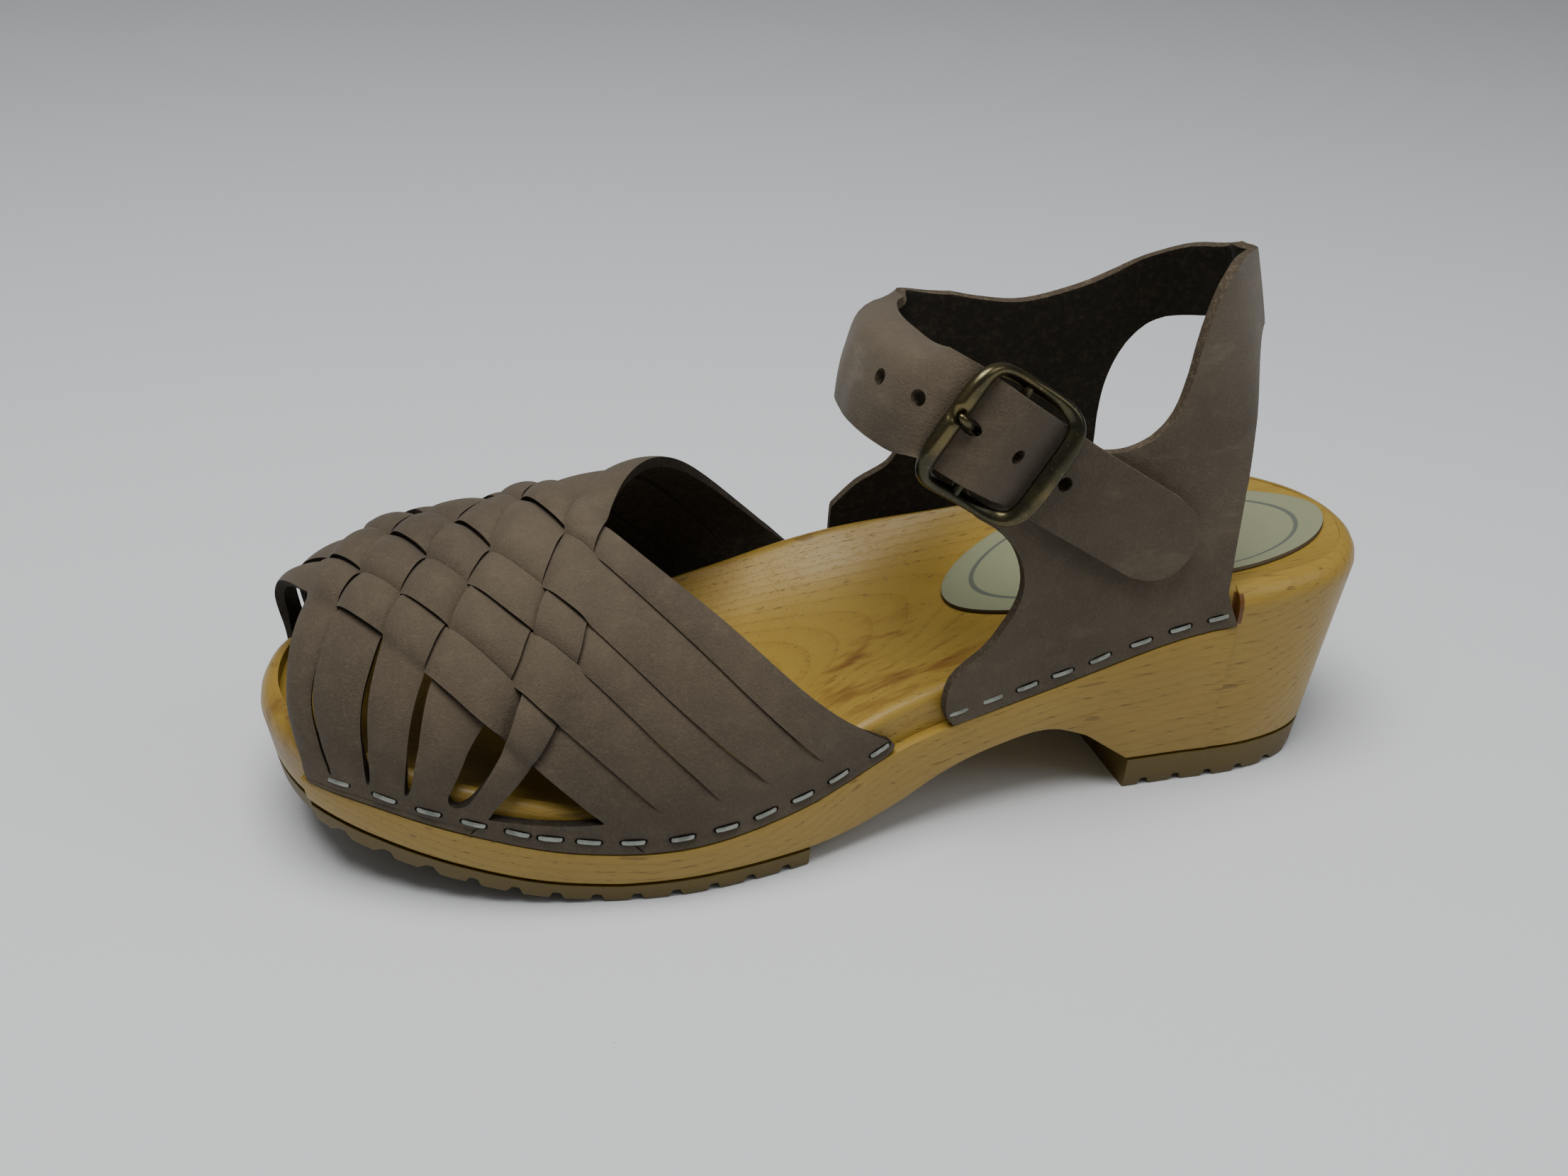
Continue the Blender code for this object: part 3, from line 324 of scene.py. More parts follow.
class Maker:
    def __init__(self, owner, shader="Principled BSDF"):
        self.owner = owner
        owner.use_nodes = True
        self.tree = owner.node_tree
        self.shader = self.tree.nodes[shader]
        self.place = self.node("TexCoord", output="Object")

    def feed(self, socket, value):
        if isinstance(value, Signal):
            self.tree.links.new(value.socket, socket)
        else:
            socket.default_value = value

    def node(self, kind, settings=None, inputs=(), output=0):
        made = self.tree.nodes.new("ShaderNode" + kind)
        for key, value in (settings or {}).items():
            setattr(made, key, value)
        pairs = inputs.items() if isinstance(inputs, dict) else enumerate(inputs)
        for key, value in pairs:
            self.feed(made.inputs[key], value)
        return Signal(self, made.outputs[output])

    def stretched(self, scale, turn=(0, 0, 0), offset=(0, 0, 0)):
        return self.node("Mapping", {}, {"Vector": self.place, "Scale": scale, "Rotation": turn,
                                         "Location": offset})

    def noise(self, scale, detail=3, rough=0.5, vector=None, warp=0.0):
        return self.node("TexNoise", {}, {"Vector": vector or self.place, "Scale": scale, "Detail": detail,
                                          "Roughness": rough, "Distortion": warp})

    def axis(self, name):
        return self.node("SeparateXYZ", {}, [self.place], output="XYZ".index(name))

    def mix(self, factor, first, second, blend="MIX"):
        settings = {"data_type": "RGBA", "blend_type": blend}
        return self.node("Mix", settings, {0: factor, 6: first, 7: second}, output=2)

    def ball(self, centre, radius, soft):
        # 1 near a place, fading to 0 over the soft distance
        apart = self.node("VectorMath", {"operation": "DISTANCE"}, [self.place, centre], output="Value")
        return 1 - apart.between(radius, radius + soft)

    def bump(self, height, distance, strength=1.0, normal=None):
        inputs = {"Height": height, "Distance": distance, "Strength": strength}
        if normal is not None:
            inputs["Normal"] = normal
        return self.node("Bump", {}, inputs)

    def finish(self, colour, roughness, normal=None, **fixed):
        self.feed(self.shader.inputs["Base Color"], colour)
        self.feed(self.shader.inputs["Roughness"], roughness)
        if normal is not None:
            self.feed(self.shader.inputs["Normal"], normal)
        for key, value in fixed.items():
            self.shader.inputs[key.replace("_", " ")].default_value = value
        return self.owner


def newFinish(name):
    return Maker(bpy.data.materials.new(name))


def tone(red, green, blue):
    # screen colour, 0 to 255, as light
    def light(value):
        value /= 255
        return value / 12.92 if value <= 0.04045 else ((value + 0.055) / 1.055) ** 2.4
    return (light(red), light(green), light(blue), 1)


woodLook = {
    "light": tone(152, 125, 54), "dark": tone(120, 90, 32), "fleck": tone(72, 44, 17),
    "red": tone(98, 48, 18), "burn": tone(84, 42, 18),
}
leatherLook = {
    "taupe": tone(80, 69, 54), "deep": tone(67, 58, 45), "pale": tone(112, 101, 82),
    "suede": tone(32, 28, 21), "suedeLight": tone(64, 55, 42),
    # the darkest cut tone is painted shade, for the vamp's edges that lie mostly in shadow
    "cut": tone(70, 61, 49), "cutPaintedShade": tone(38, 32, 25), "cutLight": tone(118, 105, 86),
}
rubberLook = {"body": tone(90, 74, 28), "dust": tone(116, 101, 52)}
labelLook = {"sheet": tone(133, 136, 108), "edge": tone(92, 80, 62), "line": tone(66, 72, 76)}
brassLook = {"dark": tone(66, 64, 50), "gold": tone(118, 105, 68), "pale": tone(190, 184, 162)}
# the slot tone is painted shade: near black for the dent round each staple
steelLook = {"bright": tone(150, 154, 146), "dull": tone(100, 102, 94), "slot": tone(16, 13, 10)}


def makeWood():
    make = newFinish("alder")
    x, y, z = (make.axis(name) for name in "XYZ")
    drift = make.noise(10, 2, vector=make.stretched((0.5, 1.6, 1.6))) - 0.5
    # growth rings about a line under the bed, cut by the carved surface
    across = y + 0.006 + drift * 0.006
    upward = z + 0.006 + x * 0.145 + drift * 0.008
    distance = (across * across * 1.5 + upward * upward) ** 0.5
    wobble = make.noise(70, 3, vector=make.stretched((0.10, 1, 1))) - 0.5
    ring = (distance * 520 + wobble * 0.55).calc("FRACT")
    late = ring ** 5.0
    band = (distance * 96 + wobble * 0.8).calc("SINE") * 0.5 + 0.5
    fibre = make.noise(1000, 4, 0.6, vector=make.stretched((0.035, 1, 1)))
    dashes = make.noise(2100, 1, 0.5, vector=make.stretched((0.10, 1, 1))).between(0.62, 0.70)
    flecks = make.noise(420, 1, 0.5, vector=make.stretched((0.16, 1, 1))).between(0.72, 0.76)
    clouds = make.noise(22, 3, 0.55, vector=make.stretched((0.6, 1, 1)))
    colour = make.mix(late * 0.34 + (fibre - 0.5) * 0.42, woodLook["light"], woodLook["dark"])
    colour = make.mix(band * 0.16, colour, woodLook["dark"])
    colour = make.mix(clouds.between(0.42, 0.75) * 0.35, colour, woodLook["dark"])
    colour = make.mix(dashes * (0.16 + late * 0.6), colour, woodLook["fleck"])
    colour = make.mix(flecks * 0.40, colour, woodLook["fleck"])
    streaks = make.noise(160, 3, 0.6, vector=make.stretched((0.12, 1, 1), turn=(0, 0, 0.30)))
    nearQuarter = make.ball((0.078, 0.014, 0.030), 0.006, 0.022) * streaks.between(0.46, 0.66)
    colour = make.mix(nearQuarter * 0.75, colour, woodLook["red"])
    # burnt corner where the rebate ends behind the outer quarter
    notch = x.between(0.0042, 0.0045) * z.between(0.0417, 0.0421) * (1 - z.between(0.0486, 0.0490)) \
        * (1 - x.between(0.0060, 0.0063)) * y.between(0.018, 0.020)
    toe = make.ball((0.203, 0.006, 0.030), 0.004, 0.010) * make.noise(150, 2).between(0.35, 0.6)
    colour = make.mix(notch * 0.85, colour, woodLook["burn"])
    colour = make.mix(toe * 0.55, colour, woodLook["burn"])
    scuff = make.noise(420, 4, 0.65, vector=make.stretched((0.4, 1, 1))).between(0.58, 0.8)
    rough = 0.40 + scuff * 0.20 + late * 0.06
    height = fibre * 0.6 - late * 0.5 - dashes * 0.8
    normal = make.bump(height, 0.00012, 0.5)
    normal = make.bump(make.noise(60, 2), 0.0007, 0.22, normal)
    return make.finish(colour, rough, normal, Coat_Weight=0.06, Coat_Roughness=0.25,
                       Specular_IOR_Level=0.32)


def makeRubber():
    make = newFinish("gum rubber")
    grain = make.noise(1300, 3, 0.6)
    dust = make.noise(70, 4, 0.6).between(0.5, 0.75)
    colour = make.mix(dust * 0.45, rubberLook["body"], rubberLook["dust"])
    colour = make.mix(grain.between(0.55, 0.7) * 0.12, colour, woodLook["fleck"])
    normal = make.bump(grain, 0.00015, 0.5)
    return make.finish(colour, 0.52 + dust * 0.2, normal, Specular_IOR_Level=0.4)


def makeNubuck(name, paleShare, lines):
    # lines: places where the leather was bent and shows paler
    make = newFinish(name)
    clouds = make.noise(30, 3, 0.5)
    mottle = make.noise(240, 3, 0.6)
    nap = make.noise(1500, 4, 0.7)
    pores = make.node("TexVoronoi", {"feature": "F1"}, {"Vector": make.place, "Scale": 1700.0})
    colour = make.mix(clouds.between(0.30, 0.72), leatherLook["deep"], leatherLook["taupe"])
    colour = make.mix(mottle.between(0.45, 0.80) * 0.14, colour, leatherLook["pale"])
    colour = make.mix(nap.between(0.45, 0.75) * 0.26, colour, leatherLook["pale"])
    colour = make.mix(nap.between(0.30, 0.48) * -0.22 + 0.22, colour, leatherLook["deep"])
    streaks = make.noise(150, 4, 0.65, vector=make.stretched((0.35, 0.35, 1.2), turn=(0, 0.5, 0)))
    scuff = streaks.between(0.54, 0.74)
    worn = scuff * (0.14 * paleShare)
    for centre, radius, soft, amount in lines:
        worn = worn + make.ball(centre, radius, soft) * (amount * (0.55 + scuff * 0.9))
    colour = make.mix(worn.calc("MINIMUM", 1.0), colour, leatherLook["pale"])
    height = nap * 0.8 + pores.between(0.0, 0.5) * 0.6 + mottle * 0.5
    normal = make.bump(height, 0.00020, 0.6)
    rough = 0.80 + (nap - 0.5) * 0.15 - worn * 0.08
    return make.finish(colour, rough, normal, Sheen_Weight=0.10, Sheen_Roughness=0.5, Specular_IOR_Level=0.3)


def makeSuede():
    make = newFinish("brown suede")
    nap = make.noise(620, 5, 0.7)
    coarse = make.noise(170, 3, 0.6)
    colour = make.mix(nap.between(0.45, 0.78) * 0.7, leatherLook["suede"], leatherLook["suedeLight"])
    colour = make.mix(coarse.between(0.55, 0.8) * 0.35, colour, leatherLook["suedeLight"])
    normal = make.bump(nap + coarse * 0.6, 0.0006, 0.8)
    return make.finish(colour, 0.95, normal, Sheen_Weight=0.08, Specular_IOR_Level=0.15)


def makeCutEdge(name, dark, light):
    make = newFinish(name)
    fibres = make.noise(1100, 4, 0.7)
    tufts = make.noise(330, 3, 0.6)
    colour = make.mix(fibres.between(0.45, 0.75) * 0.6, dark, light)
    colour = make.mix(tufts.between(0.55, 0.8) * 0.45, colour, light)
    normal = make.bump(fibres + tufts, 0.0005, 0.8)
    return make.finish(colour, 0.92, normal, Specular_IOR_Level=0.2)


def makeBrass(name, goldShare):
    make = newFinish(name)
    patches = make.noise(110, 3, 0.5)
    fine = make.noise(1500, 3, 0.6)
    rubbed = patches.between(0.40, 0.75)
    colour = make.mix(rubbed * goldShare, brassLook["dark"], brassLook["gold"])
    colour = make.mix(fine.between(0.60, 0.75) * 0.25, colour, brassLook["pale"])
    rough = 0.27 - rubbed * 0.06 + fine * 0.08
    normal = make.bump(patches + fine * 0.3, 0.00010, 0.3)
    return make.finish(colour, rough, normal, Metallic=0.95)


def makeSteel():
    make = newFinish("zinc wire")
    fine = make.noise(1400, 3, 0.6)
    dull = make.noise(300, 3, 0.6).between(0.4, 0.7)
    colour = make.mix(dull * 0.7, steelLook["bright"], steelLook["dull"])
    return make.finish(colour, 0.42 + fine * 0.15, make.bump(fine, 0.00008, 0.4), Metallic=0.65)


def makeSlotShadeFinish():
    # painted shade of the dents round the staples, near black all over
    make = newFinish("staple slot")
    return make.finish(steelLook["slot"], 0.9, Specular_IOR_Level=0.1)


def makeLabelFinish():
    make = newFinish("label sheet")
    x, y = make.axis("X"), make.axis("Y")
    centre = float(placeAlong(label["centre"]))
    reach = label["reach"] * sole["length"]
    half = label["half"] * sole["ballWidth"]
    # a fine oval line inside the edge, and nothing else
    out = (((x - centre) / reach) ** 2.0 + (y / half) ** 2.0) ** 0.5
    line = out.between(0.835, 0.845) * (1 - out.between(0.860, 0.870))
    grain = make.noise(1500, 3, 0.6)
    marks = make.noise(90, 4, 0.65).between(0.58, 0.8)
    colour = make.mix(line * 0.7, labelLook["sheet"], labelLook["line"])
    colour = make.mix(marks * 0.18, colour, labelLook["edge"])
    return make.finish(colour, 0.42 + marks * 0.15, make.bump(grain, 0.00006, 0.4), Specular_IOR_Level=0.45)


def makeLabelEdge():
    make = newFinish("label edge")
    grain = make.noise(1500, 3, 0.6)
    colour = make.mix(grain * 0.4, labelLook["edge"], leatherLook["deep"])
    return make.finish(colour, 0.8)


def makeFloorFinish():
    make = newFinish("paper")
    fibre = make.noise(700, 3, 0.6)
    specks = make.noise(330, 2, 0.5).between(0.79, 0.81)
    colour = make.mix(fibre * 0.06, tone(214, 216, 219), tone(200, 202, 206))
    colour = make.mix(specks * 0.35, colour, tone(110, 104, 96))
    return make.finish(colour, 0.9, Specular_IOR_Level=0.15)


print("finishes")
finishWood = makeWood()
finishRubber = makeRubber()
finishSuede = makeSuede()
finishCut = makeCutEdge("cut edge", leatherLook["cut"], leatherLook["cutLight"])
# the vamp's cut edges take a darker copy of the cut edge finish: painted shade, as they lie mostly in shadow
finishVampCutShaded = makeCutEdge("vamp cut edge painted shade", leatherLook["cutPaintedShade"], leatherLook["cut"])
finishVamp = makeNubuck("taupe nubuck", 0.5, [
    ((0.150, 0.012, 0.064), 0.006, 0.020, 0.16),
])
finishQuarter = makeNubuck("quarter nubuck", 1.5, [
    ((0.086, -0.004, 0.098), 0.004, 0.016, 0.45),
    ((0.088, 0.014, 0.102), 0.004, 0.014, 0.35),
    ((0.012, 0.014, 0.104), 0.006, 0.016, 0.40),
    ((0.006, 0.026, 0.072), 0.003, 0.012, 0.22),
])
finishBrass = makeBrass("antique brass", 0.75)
vampFinishes = [finishVamp, finishSuede, finishVampCutShaded]
hideFinishes = [finishQuarter, finishSuede, finishCut]
finishSteel = makeSteel()


# Wooden sole and its treads: cross sections from heel to toe, each one closed loop
def planNormals(side, shares):
    step = 0.0015
    low = np.clip(shares - step, 0, 1)
    high = np.clip(shares + step, 0, 1)
    ahead = placeAlong(high) - placeAlong(low)
    aside = edgeAcross(side, high) - edgeAcross(side, low)
    size = np.hypot(ahead, aside)
    normal = np.stack([side * aside / size, -side * ahead / size], -1)
    # straight inwards along the shoe at the very heel and toe
    normal[shares < 1e-6] = (1, 0)
    normal[shares > 1 - 1e-6] = (-1, 0)
    return normal


def sectionSides(side, shares, lower, upper=None):
    # rows from the lower edge up the wall; with no upper line, on over the rim
    normals = planNormals(side, shares)
    ends = sole["rebateEnds"]
    rebated = (shares >= ends[0]) & (shares <= ends[1])
    start = placeAlong(shares)
    rim = rimHeight(side, shares)
    ledge = rim - sole["rebateHeight"]

    def wall(height):
        tuck = sole["heelHeight"] * station("tuck", shares)
        return tuck * np.clip(1 - height / np.where(rebated, ledge, rim), 0, 1.2)

    def row(inset, height):
        plan = np.stack([start, edgeAcross(side, shares)], -1) + normals * np.asarray(inset)[:, None]
        return np.concatenate([plan, np.broadcast_to(height, len(shares))[:, None]], 1)

    x = start
    for trial in range(4):
        foot = lower(x)
        x = start + normals[:, 0] * wall(foot)
    foot = lower(x)
    turn = sole["treadRound"] if upper else sole["edgeRound"]
    rows = [row(wall(foot) + turn, foot), row(wall(foot) + turn * 0.3, foot + turn * 0.3)]
    top = upper(x) if upper else ledge - sole["ledgeRound"]
    for part in (0.0, 0.33, 0.67, 1.0):
        height = foot + turn + (top - foot - turn) * part
        rows.append(row(wall(height), height))
    if upper:
        return rows
    seat = leather["thickness"] + leather["gap"]
    for inset, drop in ((0.2 * mm, 0.15 * mm), (0.7 * mm, 0.0), (seat, 0.0)):
        rows.append(row(np.where(rebated, inset, wall(ledge)), ledge - drop * rebated))
    turn = np.where(rebated, sole["rimRound"], sole["openRim"])
    base = np.where(rebated, seat, 0.0)
    for part in (0.5, 1.0):
        height = ledge + (rim - turn - ledge) * part
        rows.append(row(np.where(rebated, seat, wall(height)), height))
    slope = np.where(rebated, 0.0, wall(rim - turn))
    for angle in np.radians((22, 45, 68, 90)):
        inset = base + slope * math.cos(angle) + turn * (1 - math.cos(angle))
        rows.append(row(inset, rim - turn * (1 - math.sin(angle))))
    return rows


def acrossRows(start, end, count, height, rounded=False):
    rows = []
    for step in range(1, count):
        part = (1 - math.cos(math.pi * step / count)) / 2 if rounded else step / count
        row = start + (end - start) * part
        row[:, 2] = height(row[:, 0], row[:, 1])
        rows.append(row)
    return rows


def stationShares(count, extra=()):
    return np.unique(np.r_[(1 - np.cos(np.linspace(0, math.pi, count))) / 2, extra])


def makeSlab(name, shares, lower, upper=None):
    outer = sectionSides(1, shares, lower, upper)
    inner = sectionSides(-1, shares, lower, upper)
    if upper:
        top = acrossRows(outer[-1], inner[-1], 10, lambda x, y: upper(x))
    else:
        top = acrossRows(outer[-1], inner[-1], 26, lambda x, y: bedHeight(shareOf(x), y), True)
    bottom = acrossRows(inner[0], outer[0], 10, lambda x, y: lower(x))
    loop = outer + top + inner[::-1] + bottom + [outer[0]]
    return weld(gridSheet(name, np.array(loop)))


def makeSole():
    ends = sole["rebateEnds"]
    tiny = 0.0004
    corner = sole["breast"]
    extra = [ends[0] - tiny, ends[0], ends[1], ends[1] + tiny, corner - 0.002, corner, corner + 0.002,
             underside[0, 0] - 0.003, underside[0, 0] + 0.003]
    piece = makeSlab("sole_wood", stationShares(140, extra), undersideHeight)
    return finishPiece(piece, [finishWood], 32, ["sole"])


def grooved(ground, first, last):
    # cross grooves with soft corners
    centres = (np.arange(-40, 40) + 0.5) * tread["pitch"]
    centres = centres[(centres > first) & (centres < last)]

    def height(x):
        x = np.asarray(x, float)
        apart = np.min(np.abs(x[:, None] - centres[None, :]), axis=1)
        return ground(x) + tread["depth"] * (1 - smooth(tread["width"] * 0.22, tread["width"] * 0.55, apart))
    return height, centres


def grooveShares(centres):
    offsets = np.array((-0.62, -0.5, -0.4, -0.28, -0.18, 0.0, 0.18, 0.28, 0.4, 0.5, 0.62)) * tread["width"]
    return shareOf((centres[:, None] + offsets[None, :]).ravel())


def makeTreads():
    gap = leather["gap"]
    margin = tread["pitch"] * 0.6
    breast = float(placeAlong(sole["breast"])) - gap
    lower, centres = grooved(lambda x: x * 0, float(placeAlong(0.04)) + margin, breast - margin)
    shares = stationShares(70, grooveShares(centres))
    limit = float(shareOf(breast))
    shares = np.r_[shares[shares < limit - 0.001], limit]
    heel = makeSlab("heel_tread_rubber", shares, lower, lambda x: x * 0 + sole["heelTread"] - gap)
    closeEnds(heel)
    finishPiece(weld(heel), [finishRubber], 35, ["heel_tread"])
    rear = float(placeAlong(sole["treadBack"]))
    ground = lambda x: undersideHeight(np.maximum(x, rear + gap)) - sole["ballTread"]
    lower, centres = grooved(ground, rear + margin, float(placeAlong(0.99)) - margin)
    shares = stationShares(110, grooveShares(centres))
    shares = np.r_[sole["treadBack"], shares[shares > sole["treadBack"] + 0.001]]
    front = makeSlab("forefoot_tread_rubber", shares, lower, lambda x: ground(x) + sole["ballTread"] - gap)
    closeEnds(front)
    finishPiece(weld(front), [finishRubber], 35, ["forefoot_tread"])


def makeLabel():
    centre = float(placeAlong(label["centre"]))
    deselect()
    bpy.ops.mesh.primitive_circle_add(vertices=96, radius=1, fill_type="NGON")
    sheet = bpy.context.object
    gridCuts([((part, part, 0), normal) for part in np.linspace(-0.95, 0.95, 39)
              for normal in ((1, 0, 0), (0, 1, 0))])
    flat = np.array([vert.co[:] for vert in sheet.data.vertices])
    x = centre + flat[:, 0] * label["reach"] * sole["length"]
    y = flat[:, 1] * label["half"] * sole["ballWidth"]
    z = bedHeight(shareOf(x), y) + 0.25 * mm + label["thickness"] / 2
    sheet.data.vertices.foreach_set("co", np.stack([x, y, z], 1).ravel())
    sheet.name = "heel_label_sheet"
    finishes = [makeLabelFinish(), makeLabelEdge()]
    addFinishes(sheet, finishes)
    applyStep(sheet, "SOLIDIFY", thickness=label["thickness"], offset=0,
              material_offset=1, material_offset_rim=1)
    applyStep(sheet, "BEVEL", width=0.2 * mm, segments=2, limit_method="ANGLE",
              angle_limit=math.radians(50))
    finishPiece(sheet, finishes, 45, ["heel_label"])


print("sole")
makeSole()
makeTreads()
makeLabel()


# Vamp: the last as a table of points, so that strips can be laid on it anywhere
def lastSection(along, shares):
    thick = leather["thickness"]
    outer = float(edgeAcross(1, along)) - thick / 2
    inner = float(edgeAcross(-1, along)) + thick / 2
    rimOut = float(rimHeight(1, along))
    rimIn = float(rimHeight(-1, along))
    crown = leather["vampCrown"] * float(flow(ridge[:, 0], ridge[:, 1], along))
    power = 2 / float(flow(ridge[:, 0], ridge[:, 2], along))
    sweep = np.linspace(0, math.pi, 241)
    swing = np.sign(np.cos(sweep)) * np.abs(np.cos(sweep)) ** power
    across = (outer + inner) / 2 + (outer - inner) / 2 * swing
    base = rimOut + (rimIn - rimOut) * (outer - across) / (outer - inner)
    height = base + (crown - (rimOut + rimIn) / 2) * np.abs(np.sin(sweep)) ** power
    drop = sole["rebateHeight"] - leather["gap"]
    across = np.r_[outer, across, inner]
    height = np.r_[rimOut - drop, height, rimIn - drop]
    girth = np.r_[0, np.cumsum(np.hypot(np.diff(across), np.diff(height)))]
    at = shares * girth[-1]
    return np.stack([np.full(len(shares), float(placeAlong(along))), np.interp(at, girth, across),
                     np.interp(at, girth, height)], -1)


lastAlongs = np.linspace(0.46, 0.995, 240)
lastShares = np.linspace(0, 1, 220)
lastTable = np.array([lastSection(along, lastShares) for along in lastAlongs])
lastAround = np.gradient(lastTable, axis=1)
lastAhead = np.gradient(lastTable, axis=0)
lastOut = unit(np.cross(lastAround, lastAhead))


def lookUp(table, along, share):
    row = np.clip((along - lastAlongs[0]) / (lastAlongs[-1] - lastAlongs[0]), 0, 1) * (len(lastAlongs) - 1)
    column = np.clip(share, 0, 1) * (len(lastShares) - 1)
    low = np.minimum(row.astype(int), len(lastAlongs) - 2)
    left = np.minimum(column.astype(int), len(lastShares) - 2)
    up = (row - low)[..., None]
    right = (column - left)[..., None]
    return ((table[low, left] * (1 - up) + table[low + 1, left] * up) * (1 - right)
            + (table[low, left + 1] * (1 - up) + table[low + 1, left + 1] * up) * right)


def onLast(along, share, lift=0.0):
    outward = unit(lookUp(lastOut, along, share))
    return lookUp(lastTable, along, share) + outward * np.asarray(lift)[..., None]


def weaveShare(part):
    crown = weave["crownShare"]
    return np.where(part < 0.5, crown * 2 * part, crown + (1 - crown) * (2 * part - 1))


def cutLines(part):
    return np.array([flow((0, 0.25, 0.5, 0.75, 1), row, part) for row in cuts])


def cutAlong(cut, part):
    # station of any line between the cuts, at a part of its way over
    lines = cutLines(part)
    low = np.clip(np.floor(cut).astype(int), 0, len(cuts) - 2)
    mix = cut - low
    first = np.take_along_axis(lines, low[None], 0)[0]
    second = np.take_along_axis(lines, low[None] + 1, 0)[0]
    return first * (1 - mix) + second * mix


def crossedCut(along, part):
    # which strip of the other set passes here, as a line number
    lines = cutLines(1 - part)
    found = np.zeros_like(along)
    for place in np.ndindex(along.shape):
        column = lines[(slice(None), *place)]
        found[place] = np.interp(-along[place], -column, np.arange(len(cuts)))
    return found


def stripPlaces(number, mirrored):
    # rows stand closer near both ends of a slit
    even = np.linspace(0, 1, weave["rows"])[1:-1]
    even = even - weave["crowding"] * np.sin(2 * math.pi * even) / (2 * math.pi)
    rowParts = np.r_[
        np.linspace(0, weave["slitStart"], weave["borderRows"]),
        weave["slitStart"] + (1 - weave["slitStart"] - weave["slitEnd"]) * even,
        np.linspace(1 - weave["slitEnd"], 1, weave["borderRows"]),
    ]
    columns = np.linspace(0, 1, weave["columns"] + 1)
    last = len(cuts) - 2
    part, across = np.meshgrid(rowParts, columns, indexing="ij")
    fromEnd = np.minimum(part - weave["slitStart"], 1 - weave["slitEnd"] - part) / weave["slitRound"]
    inside = smooth(0, 1, fromEnd)
    rounded = np.sqrt(np.clip(1 - (1 - np.clip(fromEnd, 0, 1)) ** 2, 0, 1))
    opening = np.interp(part, weave["openAt"], weave["open"]) * rounded
    # the slit next to the hole between both sets gapes most, at the front
    gape = weave["widest"] * smooth(0.7, 0.86, part) * rounded
    toeSide = opening / 2 + (gape if number == last else 0)
    heelSide = opening / 2 + (gape if number == last - 1 else 0)
    # round corner where the throat meets the border
    border = weaveShare(part) * weave["girth"]
    radius = weave["corner"]
    reach = np.clip(radius - border, 0, radius)
    if number == last:
        heelSide = heelSide + (radius - np.sqrt(radius ** 2 - reach ** 2)) / weave["stripWidth"]
    cut = number + toeSide + across * (1 - toeSide - heelSide)
    along = cutAlong(cut, part)
    share = weaveShare(1 - part) if mirrored else weaveShare(part)
    crossed = crossedCut(along, part)
    other = np.clip(np.floor(crossed), 0, len(cuts) - 2)
    over = np.where((number + other) % 2 == (0 if mirrored else 1), 1.0, -1.0)
    wave = np.cos(math.pi * (crossed - other - 0.5))
    wave = np.sign(wave) * (1 - (1 - np.abs(wave)) ** 2.2)
    woven = smooth(0.12, 0.30, part) * (1 - smooth(0.84, 0.93, part))
    lift = over * wave * weave["lift"] * inside
    lift = lift + weave["camber"] * (1 - (2 * across - 1) ** 2) * woven
    lift = lift + weave["tilt"] * (0.5 - across) * inside
    for side in (border, weave["girth"] - border):
        spot = (side - weave["troughPlace"]) / weave["troughWidth"]
        lift = lift - weave["stapleTrough"] * np.exp(-spot ** 2)
    return onLast(along, share, lift)


def bandPlaces(first, second, rows):
    # border between the two sets of strips: first and second are (cut, parts, mirrored)
    lines = []
    for cut, parts, mirrored in (first, second):
        along = cutAlong(np.full(len(parts), float(cut)), parts)
        share = weaveShare(1 - parts) if mirrored else weaveShare(parts)
        lines.append((along, share))
    mix = np.linspace(0, 1, rows)[:, None]
    along = lines[0][0][None] * (1 - mix) + lines[1][0][None] * mix
    share = lines[0][1][None] * (1 - mix) + lines[1][1][None] * mix
    return onLast(along, share, np.zeros_like(along))


def faceOut(piece, centre):
    # faces point away from the foot before the wall gets its thickness
    score = sum((face.center - Vector(centre)).dot(face.normal) * face.area for face in piece.data.polygons)
    if score < 0:
        piece.data.flip_normals()
    return piece


def makeVamp():
    sheets = []
    for mirrored in (False, True):
        for number in range(len(cuts) - 1):
            sheets.append(gridSheet("strip", stripPlaces(number, mirrored)))
    # the band ends below the slits, which leaves the hole between both sets
    low = np.linspace(0, weave["slitStart"], weave["borderRows"])[:weave["bandRows"]]
    high = 1 - np.linspace(0, weave["slitEnd"], weave["borderRows"])[:weave["bandRows"]]
    last = len(cuts) - 1
    sheets.append(gridSheet("outer band", bandPlaces((0, low, False), (last, high, True), 22)))
    sheets.append(gridSheet("inner band", bandPlaces((0, low, True), (last, high, False), 22)))
    vamp = joinPieces("vamp_leather", sheets)
    weld(vamp, 0.00001)
    faceOut(vamp, (0.14, 0, 0.02))
    return finishLeather(vamp, vampFinishes, ["vamp"])


def finishLeather(sheet, finishes, replaces):
    addFinishes(sheet, finishes)
    thickness = leather["thickness"] * leather["worn"]
    applyStep(sheet, "SOLIDIFY", thickness=thickness, offset=0, material_offset=1, material_offset_rim=2,
              edge_crease_outer=0.75, edge_crease_inner=0.6, use_even_offset=True,
              thickness_clamp=0.0)
    applyStep(sheet, "SUBSURF", levels=1, render_levels=1, boundary_smooth="ALL")
    return finishPiece(sheet, finishes, 48, replaces)


print("vamp")
vampPiece = makeVamp()
print("vamp faces", len(vampPiece.data.polygons))

